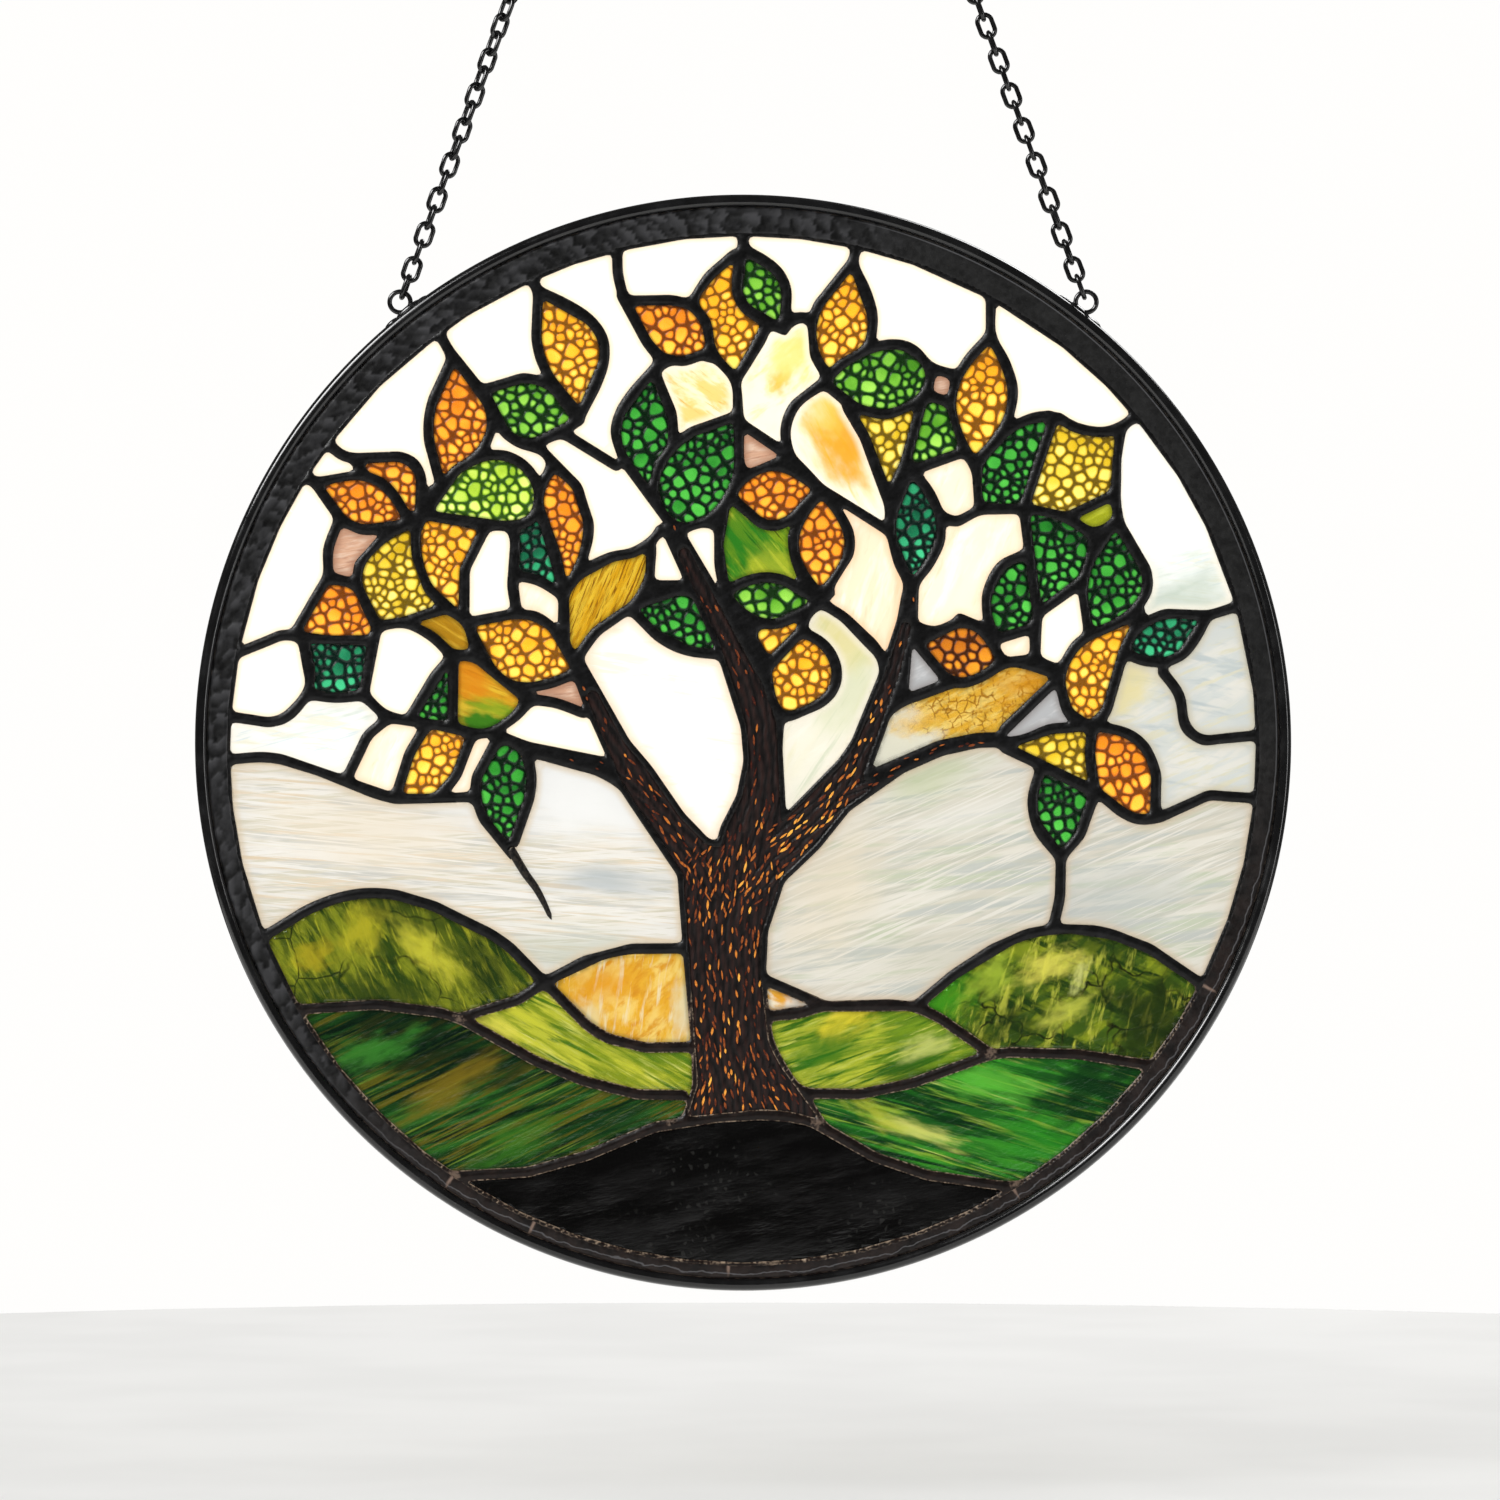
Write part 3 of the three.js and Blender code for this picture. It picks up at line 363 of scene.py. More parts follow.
# Every coloured pane: its glass and a point inside it. Openings that no row names hold plain
# sky glass.
PANES = [
    ("gold", 16, 18), ("green", -66, -12), ("fresh", -59, 91), ("gold", -82, 53),
    ("sunset", -71, 11), ("gold", -84, -5), ("amber", 22, 55), ("teal", 47, 57),
    ("amber", -18, 112), ("green", 87, -18), ("amber", -111, 35), ("cream", -100, -7),
    ("amber", -50, 65), ("amber", 8, 68), ("green", -18, 34), ("teal", -110, 20),
    ("amber", -104, 66), ("brown", 60, 25), ("green", 73, 37), ("cream", 58, 70),
    ("lemon", 88, -2), ("lemon", 40, 84), ("fresh", 8, 39), ("fresh", 53, 84),
    ("teal", 115, 28), ("fresh", 5, 124), ("teal", -57, 50), ("amber", -93, 72),
    ("pink", -108, 54), ("frost", 84, 9), ("cream", -57, 39), ("streaky_amber", -80, 31),
    ("green", -84, 10), ("pink", 3, 79), ("gold", 8, 28), ("frost", 49, 18),
    ("cream", -76, -12), ("pink", -48, 14), ("ember", 9, -70), ("olive", 97, 62),
    ("cream", 75, 26), ("pink", 54, 98), ("opal", 20, 1), ("pearl_gold", 65, 10),
    ("cream", 59, 45), ("glowing_cream", 22, 84), ("peach", 35, 42), ("sunny_cream", 11, 102),
    ("green", -13, 72), ("lemon", 92, 75), ("lime", -68, 69), ("gold", -61, 26),
    ("fresh", 41, 100), ("gold", -47, 107), ("streaky_gold", -39, 40), ("lemon", -96, 43),
    ("amber", -78, 87), ("jungle", 1, 53), ("gold", 65, 92), ("marbled_cream", -11, 96),
    ("green", 102, 44), ("green", 87, 53), ("amber", 104, -9), ("gold", 95, 18),
    ("green", 72, 74), ("gold", 27, 113), ("gold", -3, 112), ("green", -27, 85),
    ("low_sky", -40, -38), ("right_sky", 48, -37), ("right_sky", 116, -39), ("white", -17, 8),
    ("misty", 114, 62), ("blue_mist", 110, 10), ("blue_mist", 129, 17), ("misty", -114, 2),
    ("ground", 1, -124), ("bark", -4, -41), ("left_forest", -74, -100),
    ("right_forest", 70, -104), ("right_hill", 95, -69), ("left_hill", -101, -56),
    ("right_meadow", 30, -84), ("left_meadow", -55, -77), ("honey", -28, -69),
]


def grid_place(x, z):
    """The grid point nearest to a place."""
    return int(round((x + HALF_SPAN) / STEP)), int(round((z + HALF_SPAN) / STEP))


def middle_box(name):
    """A CAD node's box in panel millimetres: left, bottom, right and top."""
    low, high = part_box(name)
    return np.array([low.x / MM, low.z / MM + PANEL_DROP, high.x / MM, high.z / MM + PANEL_DROP])


METAL_NODES = ("lead_came", "border_came", "round_frame", "left_chain", "right_chain",
               "hanging_ring")

# An opening belongs to the CAD pane whose box agrees with its own to within FIT.
FIT = 1.5
boxes = {name: middle_box(name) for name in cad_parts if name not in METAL_NODES}
node_of = {}
for number, loop in enumerate(openings):
    span = np.concatenate([loop.min(axis=0), loop.max(axis=0)])
    name = min(boxes, key=lambda n: np.abs(boxes[n] - span).max())
    if np.abs(boxes[name] - span).max() < FIT:
        node_of[number] = name
look_of = {int(label[grid_place(x, z)]): look for look, x, z in PANES}


# ---- Shader building blocks ----------------------------------------------------------------

class Paint:
    """A material and short ways to add nodes to it. Colours are linear."""

    def __init__(self, name):
        self.material = bpy.data.materials.new(name)
        self.material.use_nodes = True
        self.tree = self.material.node_tree
        self.shader = self.tree.nodes["Principled BSDF"]

    def node(self, kind, settings=None, **inputs):
        made = self.tree.nodes.new(kind)
        for key, value in (settings or {}).items():
            setattr(made, key, value)
        for key, value in inputs.items():
            self.put(made.inputs[key.replace("_", " ")], value)
        return made

    def put(self, socket, value):
        if isinstance(value, bpy.types.NodeSocket):
            self.tree.links.new(value, socket)
        elif isinstance(value, tuple) and socket.type == "RGBA":
            socket.default_value = (*value, 1)
        else:
            socket.default_value = value

    def number(self, name):
        """A number that the mesh carries at each point."""
        return self.node("ShaderNodeAttribute", {"attribute_name": name}).outputs["Fac"]

    def place(self, angle=0.0, long=1.0, short=1.0, shift=(0, 0)):
        """The position on the panel, stretched along a direction. Sizes are in millimetres."""
        where = self.node("ShaderNodeTexCoord").outputs["Object"]
        moved = self.node("ShaderNodeMapping", {"vector_type": "TEXTURE"}, Vector=where)
        moved.inputs["Location"].default_value = (shift[0] * MM, 0, (shift[1] - PANEL_DROP) * MM)
        moved.inputs["Rotation"].default_value = (0, -math.radians(angle), 0)
        moved.inputs["Scale"].default_value = (long * MM, short * MM, short * MM)
        return moved.outputs[0]

    def noise(self, vector, detail=3.0, rough=0.55, warp=0.0):
        made = self.node("ShaderNodeTexNoise", Vector=vector, Scale=1.0, Detail=detail,
                         Roughness=rough, Distortion=warp)
        return made.outputs["Fac"]

    def veins(self, vector):
        """Distance to the edge of irregular cells."""
        made = self.node("ShaderNodeTexVoronoi", {"feature": "DISTANCE_TO_EDGE"}, Vector=vector,
                         Scale=1.0)
        return made.outputs["Distance"]

    def ramp(self, fac, stops, smooth=True):
        made = self.node("ShaderNodeValToRGB", Fac=fac)
        bar = made.color_ramp
        bar.interpolation = "B_SPLINE" if smooth and len(stops) > 2 else "EASE"
        while len(bar.elements) < len(stops):
            bar.elements.new(0.5)
        for element, (at, colour) in zip(bar.elements, stops):
            element.position = at
            element.color = (*colour, 1)
        return made.outputs["Color"]

    def span(self, value, low, high, to_low=0.0, to_high=1.0):
        made = self.node("ShaderNodeMapRange", {"interpolation_type": "SMOOTHSTEP"}, Value=value,
                         From_Min=low, From_Max=high, To_Min=to_low, To_Max=to_high)
        return made.outputs["Result"]

    def sums(self, operation, a, b):
        made = self.node("ShaderNodeMath", {"operation": operation})
        self.put(made.inputs[0], a)
        self.put(made.inputs[1], b)
        return made.outputs[0]

    def mix(self, fac, a, b, blend="MIX"):
        made = self.node("ShaderNodeMix", {"data_type": "RGBA", "blend_type": blend})
        self.put(made.inputs["Factor"], fac)
        self.put(made.inputs[6], a)
        self.put(made.inputs[7], b)
        return made.outputs[2]

    def spot(self, x, z, radius, soft, wobble=0.0, angle=0.0, stretch=1.0):
        """One near a point of the panel, falling to nothing at radius + soft. It can be drawn out
        along a direction, and wobble makes its outline uneven."""
        reach = radius + soft
        where = self.place(angle, reach * stretch, reach, (x, z))
        if wobble:
            bend = self.node("ShaderNodeTexNoise", Vector=self.place(angle, reach * stretch, reach),
                             Scale=2.2, Detail=4.0)
            centred = self.node("ShaderNodeVectorMath", {"operation": "SUBTRACT"})
            self.put(centred.inputs[0], bend.outputs["Color"])
            centred.inputs[1].default_value = (0.5, 0.5, 0.5)
            push = self.node("ShaderNodeVectorMath", {"operation": "MULTIPLY_ADD"})
            self.put(push.inputs[0], centred.outputs[0])
            push.inputs[1].default_value = (2 * wobble,) * 3
            self.put(push.inputs[2], where)
            where = push.outputs[0]
        level = self.node("ShaderNodeVectorMath", {"operation": "MULTIPLY"})
        self.put(level.inputs[0], where)
        level.inputs[1].default_value = (1, 0, 1)
        gap = self.node("ShaderNodeVectorMath", {"operation": "LENGTH"})
        self.put(gap.inputs[0], level.outputs[0])
        return self.span(gap.outputs["Value"], radius / reach, 1.0, 1.0, 0.0)

    def bump(self, height, distance, strength=0.5):
        made = self.node("ShaderNodeBump", Height=height, Strength=strength,
                         Distance=distance * MM)
        self.put(self.shader.inputs["Normal"], made.outputs[0])

    def finish(self, colour, rough, clear=0.0, coat=0.0, glow=0.0, specular=0.5):
        """Sets the shader; with glow it shines in its own colour, painted light in place of
        backlight.
        """
        inputs = self.shader.inputs
        self.put(inputs["Base Color"], colour)
        self.put(inputs["Roughness"], rough)
        inputs["Metallic"].default_value = 0.0
        inputs["Transmission Weight"].default_value = clear
        inputs["Coat Weight"].default_value = coat
        inputs["Coat Roughness"].default_value = 0.08
        inputs["Specular IOR Level"].default_value = specular
        inputs["IOR"].default_value = 1.5
        # Painted light: the emission makes the surface glow in its own colour, as if lit from
        # behind.
        if glow:
            self.put(inputs["Emission Color"], colour)
            inputs["Emission Strength"].default_value = glow
        return self.material


# ---- Glass ---------------------------------------------------------------------------------

# Crackled glass: the colour between the cells, round their edges, in their middles, and at the
# brightest of them; then how wide the dark between them is, and the size of a cell.
CRACKLE = {
    "gold": ((0.22, 0.085, 0.002), (0.72, 0.3, 0.006), (0.96, 0.57, 0.012), (1.0, 0.86, 0.2),
             0.25, 3.7),
    "lemon": ((0.16, 0.1, 0.002), (0.56, 0.38, 0.008), (0.86, 0.62, 0.015), (1.0, 0.93, 0.36),
              0.26, 3.7),
    "amber": ((0.19, 0.05, 0.002), (0.64, 0.19, 0.006), (0.93, 0.37, 0.01), (1.0, 0.7, 0.09),
              0.28, 3.8),
    "brown": ((0.06, 0.016, 0.002), (0.36, 0.1, 0.004), (0.66, 0.22, 0.008), (0.9, 0.46, 0.03),
              0.34, 4.0),
    "green": ((0.001, 0.014, 0.003), (0.004, 0.08, 0.01), (0.025, 0.3, 0.025),
              (0.13, 0.64, 0.09), 0.5, 3.8),
    "fresh": ((0.005, 0.03, 0.003), (0.035, 0.17, 0.008), (0.15, 0.47, 0.025),
              (0.48, 0.82, 0.14), 0.4, 3.7),
    "teal": ((0.001, 0.013, 0.008), (0.002, 0.06, 0.03), (0.01, 0.24, 0.1), (0.07, 0.6, 0.28),
             0.5, 3.4),
    "lime": ((0.03, 0.085, 0.004), (0.22, 0.4, 0.012), (0.56, 0.76, 0.06), (0.92, 0.98, 0.36),
             0.34, 3.7),
}


def edge_shade(paint, colour, width, least):
    """A colour that darkens towards the lead round its pane: painted shade along the lead."""
    shade = paint.span(paint.number("edge"), 0.0, width, least, 1.0)
    grey = paint.ramp(shade, [(0, (0, 0, 0)), (1, (1, 1, 1))], False)
    return paint.mix(1.0, colour, grey, "MULTIPLY")


def crackled_glass(kind):
    vein, deep, body, bright, width, _ = CRACKLE[kind]
    paint = Paint(kind + "_crackle")
    cell = paint.number("cell")
    tone = paint.number("tone")
    drift = paint.noise(paint.place(long=9, short=9), detail=2)
    light = paint.sums("ADD", paint.sums("MULTIPLY", tone, 0.55),
                       paint.sums("MULTIPLY", drift, 0.6))
    middle = paint.ramp(light, [(0.28, deep), (0.52, body), (0.85, bright)])
    rim = paint.mix(paint.span(cell, 0.25, 0.85), deep, middle)
    grain = paint.noise(paint.place(long=0.7, short=0.7), detail=3)
    uneven = paint.sums("MULTIPLY", paint.sums("SUBTRACT", grain, 0.5), 0.25)
    edge = paint.sums("ADD", cell, uneven)
    colour = paint.mix(paint.span(edge, width * 0.35, width * 1.15), vein, rim)
    colour = edge_shade(paint, colour, 1.1, 0.45)
    rough = paint.span(grain, 0.3, 0.7, 0.22, 0.38)
    return paint.finish(colour, rough=rough, clear=0.7, glow=0.62, specular=0.15)


def streaks(paint, base, layers):
    """Layers of (colour, angle, long, short, from, to, shift) laid over a base colour."""
    colour = base
    for tint, angle, long, short, low, high, shift in layers:
        swirl = paint.noise(paint.place(angle, long, short, (shift, shift * 0.7)), detail=4,
                            rough=0.6, warp=0.35)
        colour = paint.mix(paint.span(swirl, low, high), colour, tint)
    return colour


def spotted(paint, colour, spots, wobble):
    """Spots of (colour, x, z, radius, soft, amount, and perhaps angle and stretch) laid over a
    colour."""
    for tint, x, z, radius, soft, amount, *drawn in spots:
        near = paint.spot(x, z, radius, soft, wobble, *drawn)
        colour = paint.mix(paint.sums("MULTIPLY", near, amount), colour, tint)
    return colour


def opal_glass(name, base, layers, edge_tint=(1.0, 0.93, 0.8), spots=(), edge=2.4, glow=0.42):
    """Pale glass with wisps, and a tint in a band as wide as edge along the lead."""
    paint = Paint(name + "_opal")
    colour = spotted(paint, streaks(paint, base, layers), spots, 0.6)
    border = paint.span(paint.number("edge"), 0.0, edge, 0.75, 0.0)
    colour = paint.mix(border, colour, edge_tint)
    ripple = paint.noise(paint.place(10, 14, 4), detail=3)
    paint.bump(ripple, 0.5, 0.25)
    return paint.finish(colour, rough=0.16, clear=0.55, glow=glow)


WHITE = (0.99, 0.99, 0.985)


def opal_looks():
    """The pale panes, each with its own wisps. A layer is (colour, angle, long, short, from, to,
    shift), and a spot is what spotted takes."""
    made = {}

    def add_look(name, *rest, **more):
        made[name] = opal_glass(name, *rest, **more)

    add_look("sky", WHITE, [((0.99, 0.95, 0.87), 15, 40, 14, 0.56, 0.8, 3)], glow=0.46,
             edge_tint=(0.9, 0.74, 0.5), edge=2.6)
    add_look("white", (0.99, 0.97, 0.92), [
        ((0.96, 0.84, 0.7), -10, 30, 3.2, 0.5, 0.64, 5),
        ((0.99, 0.98, 0.94), 8, 18, 5, 0.4, 0.6, 40)], glow=0.36,
        edge_tint=(0.94, 0.76, 0.56), edge=3.5)
    add_look("cream", (0.97, 0.86, 0.68), [
        ((0.98, 0.94, 0.84), 62, 18, 5, 0.42, 0.62, 9),
        ((0.93, 0.72, 0.5), 66, 14, 3, 0.54, 0.72, 31)], edge_tint=(0.93, 0.74, 0.52))
    add_look("glowing_cream", (0.98, 0.83, 0.55), [
        ((0.98, 0.94, 0.8), -55, 22, 5, 0.42, 0.62, 4),
        ((0.96, 0.66, 0.22), -60, 18, 3, 0.52, 0.68, 33)],
        spots=[((0.95, 0.4, 0.01), 27, 82, 2.4, 8, 0.95, -60, 1.6),
               ((0.97, 0.62, 0.1), 22, 91, 1.5, 7, 0.7, -60, 1.4)])
    add_look("sunny_cream", (0.98, 0.92, 0.74), [
        ((0.97, 0.78, 0.36), 38, 14, 5, 0.5, 0.66, 12)],
        spots=[((0.95, 0.5, 0.03), 10.5, 99.5, 0.5, 4, 0.9, 60, 1.5),
               ((0.97, 0.75, 0.22), 14, 106, 1.5, 6, 0.85, 40, 1.6)])
    add_look("marbled_cream", (0.96, 0.68, 0.24), [
        ((0.98, 0.9, 0.66), -35, 13, 5, 0.44, 0.6, 21),
        ((0.86, 0.44, 0.06), -35, 10, 1.2, 0.54, 0.68, 2)])
    add_look("opal", (0.93, 0.9, 0.78), [
        ((0.86, 0.83, 0.56), 62, 40, 6, 0.48, 0.66, 8),
        ((0.72, 0.76, 0.6), 56, 26, 2.4, 0.53, 0.68, 29),
        ((0.97, 0.94, 0.84), 40, 18, 4, 0.5, 0.66, 17)],
        spots=[((0.8, 0.72, 0.28), 26, 29, 3, 9, 0.7, -40, 1.4),
               ((0.7, 0.74, 0.46), 30, 14, 2, 8, 0.5, 60, 2.0)], glow=0.3)
    add_look("peach", (0.96, 0.8, 0.6), [
        ((0.93, 0.64, 0.42), 80, 22, 4, 0.5, 0.68, 5),
        ((0.98, 0.92, 0.8), 70, 20, 4, 0.46, 0.64, 44)], edge_tint=(0.93, 0.66, 0.42))
    add_look("pink", (0.76, 0.46, 0.31), [
        ((0.9, 0.68, 0.52), 12, 9, 1.6, 0.42, 0.62, 6),
        ((0.56, 0.32, 0.22), 8, 8, 0.8, 0.54, 0.68, 30)], edge_tint=(0.5, 0.26, 0.16), glow=0.3)
    add_look("frost", (0.7, 0.71, 0.72), [
        ((0.9, 0.9, 0.9), 25, 10, 2.4, 0.45, 0.62, 3)], edge_tint=(0.5, 0.47, 0.46), glow=0.16)
    add_look("misty", (0.95, 0.955, 0.92), [
        ((0.66, 0.72, 0.64), 14, 34, 5, 0.5, 0.66, 7),
        ((0.84, 0.82, 0.68), -8, 18, 2, 0.53, 0.68, 21),
        ((0.74, 0.8, 0.82), 16, 30, 1.6, 0.53, 0.66, 50)],
        spots=[((0.55, 0.62, 0.54), 122, 35, 4, 15, 0.75, 12, 1.5),
               ((1.0, 1.0, 0.98), 110, 74, 8, 16, 0.9, -50, 1.4)], glow=0.36)
    add_look("blue_mist", (0.8, 0.83, 0.8), [
        ((0.93, 0.91, 0.84), 30, 26, 5, 0.44, 0.6, 12),
        ((0.64, 0.7, 0.71), -8, 22, 3.4, 0.5, 0.66, 25),
        ((0.88, 0.84, 0.64), 20, 16, 2, 0.54, 0.68, 61)],
        edge_tint=(0.8, 0.74, 0.58),
        spots=[((0.94, 0.84, 0.44), 104, 16, 3, 8, 0.8, 20, 1.2)], glow=0.2)
    add_look("low_sky", (0.97, 0.93, 0.84), [
        ((1.0, 0.98, 0.93), -3, 60, 4, 0.43, 0.56, 14),
        ((0.9, 0.76, 0.57), -3, 50, 1.8, 0.5, 0.63, 3),
        ((0.7, 0.7, 0.66), -2, 44, 2.2, 0.51, 0.65, 37),
        ((0.78, 0.74, 0.6), 4, 40, 0.9, 0.5, 0.63, 71),
        ((1.0, 0.98, 0.93), -6, 44, 0.8, 0.5, 0.6, 55)],
        spots=[((1.0, 1.0, 0.98), -52, -11, 9, 12, 1.0, -4, 2.6),
               ((0.58, 0.63, 0.65), -37, -38, 0.5, 6, 0.75, -3, 4.0),
               ((0.68, 0.71, 0.6), -45, -58, 1, 10, 0.6, -2, 3.6),
               ((0.97, 0.88, 0.73), -100, -24, 2, 12, 0.6, -6, 2.6)], glow=0.2,
        edge_tint=(0.9, 0.76, 0.56))
    add_look("right_sky", (0.84, 0.8, 0.69), [
        ((0.95, 0.92, 0.83), 13, 60, 4, 0.43, 0.57, 9),
        ((0.68, 0.68, 0.58), 17, 44, 1.8, 0.5, 0.64, 33),
        ((0.68, 0.74, 0.56), 6, 40, 4.4, 0.52, 0.66, 58),
        ((0.66, 0.69, 0.66), 8, 46, 2.6, 0.52, 0.66, 83),
        ((0.98, 0.95, 0.87), 24, 36, 0.8, 0.5, 0.62, 6)],
        spots=[((0.96, 0.87, 0.7), 24, -40, 3, 15, 0.6, 70, 1.6),
               ((0.7, 0.76, 0.5), 50, -9, 1, 9, 0.65, 20, 2.6),
               ((0.98, 0.96, 0.9), 62, -20, 1, 6, 0.6, 16, 5.0),
               ((0.68, 0.71, 0.68), 104, -42, 2, 12, 0.55, 4, 2.4),
               ((0.74, 0.72, 0.6), 60, -58, 1, 10, 0.5, 4, 3.4)], glow=0.17,
        edge_tint=(0.86, 0.72, 0.54))
    return made


def streaked_glass(name, base, layers, cracks=None, spots=(), clear=0.7, glow=0.3):
    """Deep coloured glass with streaks, and where it is cracked, thin dark lines: cracks is
    (colour, cell size, line width, warp)."""
    paint = Paint(name + "_streaked")
    colour = streaks(paint, base, layers)
    if cracks:
        tint, size, width, warp = cracks
        wander = paint.node("ShaderNodeTexNoise", Vector=paint.place(long=size, short=size),
                            Scale=1.0, Detail=3.0)
        push = paint.node("ShaderNodeVectorMath", {"operation": "MULTIPLY_ADD"})
        paint.put(push.inputs[0], wander.outputs["Color"])
        push.inputs[1].default_value = (warp,) * 3
        paint.put(push.inputs[2], paint.place(long=size, short=size))
        lines = paint.veins(push.outputs[0])
        patchy = paint.span(paint.noise(paint.place(long=size * 1.2, short=size * 1.2)),
                            0.44, 0.58)
        line = paint.span(lines, 0.0, width / size, 1.0, 0.0)
        colour = paint.mix(paint.sums("MULTIPLY", line, patchy), colour, tint)
    colour = spotted(paint, colour, spots, 0.9)
    colour = edge_shade(paint, colour, 1.6, 0.55)
    ripple = paint.noise(paint.place(25, 8, 3), detail=4)
    paint.bump(ripple, 0.6, 0.4)
    return paint.finish(colour, rough=0.14, clear=clear, glow=glow)


def streaked_looks():
    made = {}

    def add_look(name, *rest, **more):
        made[name] = streaked_glass(name, *rest, **more)

    add_look("left_hill", (0.12, 0.16, 0.012), [
        ((0.3, 0.34, 0.02), -62, 14, 4, 0.43, 0.6, 4),
        ((0.03, 0.07, 0.008), -50, 18, 3, 0.48, 0.64, 27),
        ((0.5, 0.5, 0.03), -66, 11, 1.4, 0.53, 0.68, 49)],
        cracks=((0.012, 0.02, 0.004), 19, 0.4, 0.8),
        spots=[((0.72, 0.68, 0.06), -87, -57, 1, 5, 0.85, -40, 2.6),
               ((0.62, 0.56, 0.03), -104, -51, 1, 6, 0.75, 75, 1.5),
               ((0.54, 0.44, 0.02), -118, -58, 1, 5, 0.7, 20, 1.5),
               ((0.02, 0.045, 0.008), -94, -46, 2, 6, 0.6, -20, 2.0),
               ((0.02, 0.045, 0.008), -69, -62, 2, 7, 0.7, -50, 1.8),
               ((0.02, 0.055, 0.008), -104, -70, 2, 6, 0.7, 0, 3.2)])
    add_look("right_hill", (0.07, 0.14, 0.012), [
        ((0.3, 0.37, 0.02), 40, 12, 4, 0.45, 0.62, 7),
        ((0.02, 0.055, 0.007), -24, 17, 3, 0.48, 0.64, 33),
        ((0.6, 0.62, 0.07), 74, 9, 2.2, 0.53, 0.68, 66)],
        cracks=((0.01, 0.012, 0.003), 12, 0.5, 1.0),
        spots=[((0.06, 0.36, 0.014), 55, -70, 2, 7, 0.85, 50, 1.5),
               ((0.5, 0.64, 0.06), 68, -64, 1, 6, 0.75, 40, 1.8),
               ((0.84, 0.78, 0.14), 84, -61, 1, 5, 0.8, 20, 2.4),
               ((0.84, 0.84, 0.3), 92, -64, 0.3, 2.6, 0.7, 70, 2.2),
               ((0.66, 0.68, 0.1), 88, -74, 0.5, 4, 0.8, 30, 2.6),
               ((0.02, 0.04, 0.006), 112, -76, 5, 9, 0.85, -50, 1.5),
               ((0.02, 0.045, 0.007), 72, -78, 1, 6, 0.7, 10, 2.6),
               ((0.02, 0.05, 0.008), 98, -55, 1, 5, 0.6, -20, 2.4)])
    add_look("left_meadow", (0.3, 0.38, 0.02), [
        ((0.68, 0.68, 0.06), -30, 22, 2.6, 0.44, 0.6, 4),
        ((0.08, 0.2, 0.012), -26, 20, 2, 0.5, 0.64, 28),
        ((0.86, 0.84, 0.22), -30, 18, 1.2, 0.54, 0.7, 51)],
        spots=[((0.84, 0.78, 0.12), -66, -80, 1, 6, 0.8, -35, 2.0),
               ((0.12, 0.26, 0.016), -28, -84, 1, 6, 0.6, -10, 2.6)])
    add_look("right_meadow", (0.18, 0.32, 0.018), [
        ((0.58, 0.62, 0.05), 14, 24, 2.8, 0.44, 0.6, 5),
        ((0.04, 0.16, 0.01), 20, 22, 2, 0.48, 0.62, 39),
        ((0.76, 0.78, 0.16), 22, 16, 1.4, 0.54, 0.7, 14)],
        spots=[((0.88, 0.74, 0.05), 28, -76, 1, 5, 0.85, 30, 2.2),
               ((0.05, 0.22, 0.014), 23, -84, 1, 6, 0.75, 25, 2.2),
               ((0.72, 0.74, 0.24), 50, -83, 0.5, 4, 0.7, 20, 2.8),
               ((0.04, 0.12, 0.01), 46, -91, 1, 4, 0.6, 5, 3.5)])
    add_look("left_forest", (0.01, 0.065, 0.01), [
        ((0.035, 0.17, 0.02), 22, 40, 2.4, 0.44, 0.58, 8),
        ((0.0015, 0.014, 0.005), 20, 44, 3.0, 0.47, 0.62, 23),
        ((0.16, 0.14, 0.01), 26, 32, 1.2, 0.51, 0.63, 45),
        ((0.2, 0.3, 0.03), 26, 30, 0.9, 0.55, 0.7, 77)],
        spots=[((0.001, 0.016, 0.006), -92, -80, 5, 9, 0.85, 8, 2.6),
               ((0.07, 0.34, 0.04), -100, -84, 1, 5, 0.7, 18, 2.6),
               ((0.28, 0.2, 0.014), -78, -93, 1, 5, 0.75, 30, 4.2),
               ((0.001, 0.02, 0.007), -62, -88, 1, 7, 0.7, 28, 2.4),
               ((0.06, 0.24, 0.02), -62, -110, 1, 6, 0.7, 30, 3.0),
               ((0.003, 0.045, 0.01), -34, -104, 1, 7, 0.7, 20, 2.4)])
    add_look("right_forest", (0.015, 0.13, 0.015), [
        ((0.05, 0.34, 0.025), -16, 36, 2.8, 0.43, 0.57, 6),
        ((0.003, 0.035, 0.008), -14, 38, 2.8, 0.49, 0.63, 28),
        ((0.34, 0.52, 0.05), -16, 30, 2.0, 0.53, 0.68, 57),
        ((0.6, 0.7, 0.16), -18, 28, 1.1, 0.58, 0.74, 91)],
        spots=[((0.16, 0.6, 0.06), 66, -93, 1, 6, 0.75, -12, 3.0),
               ((0.003, 0.035, 0.008), 97, -92, 4, 8, 0.85, 30, 1.8),
               ((0.84, 0.82, 0.22), 47, -106, 0.5, 3, 0.8, -16, 5.0),
               ((0.56, 0.6, 0.05), 36, -101, 0.5, 4, 0.7, -30, 3.0),
               ((0.03, 0.32, 0.02), 84, -110, 1, 6, 0.7, -10, 2.8)])
    add_look("honey", (0.87, 0.5, 0.04), [
        ((0.96, 0.72, 0.2), 70, 10, 5, 0.42, 0.6, 8),
        ((0.74, 0.34, 0.02), 48, 8, 3.4, 0.52, 0.7, 18),
        ((0.92, 0.84, 0.56), 82, 14, 1.6, 0.54, 0.68, 63)],
        spots=[((0.84, 0.4, 0.02), -38, -66, 1, 7, 0.7, 30, 1.6),
               ((0.86, 0.8, 0.56), -16, -72, 1, 5, 0.8, 85, 2.2),
               ((0.86, 0.76, 0.46), -42, -74, 0.5, 4, 0.6, -40, 1.8)], clear=0.6, glow=0.26)
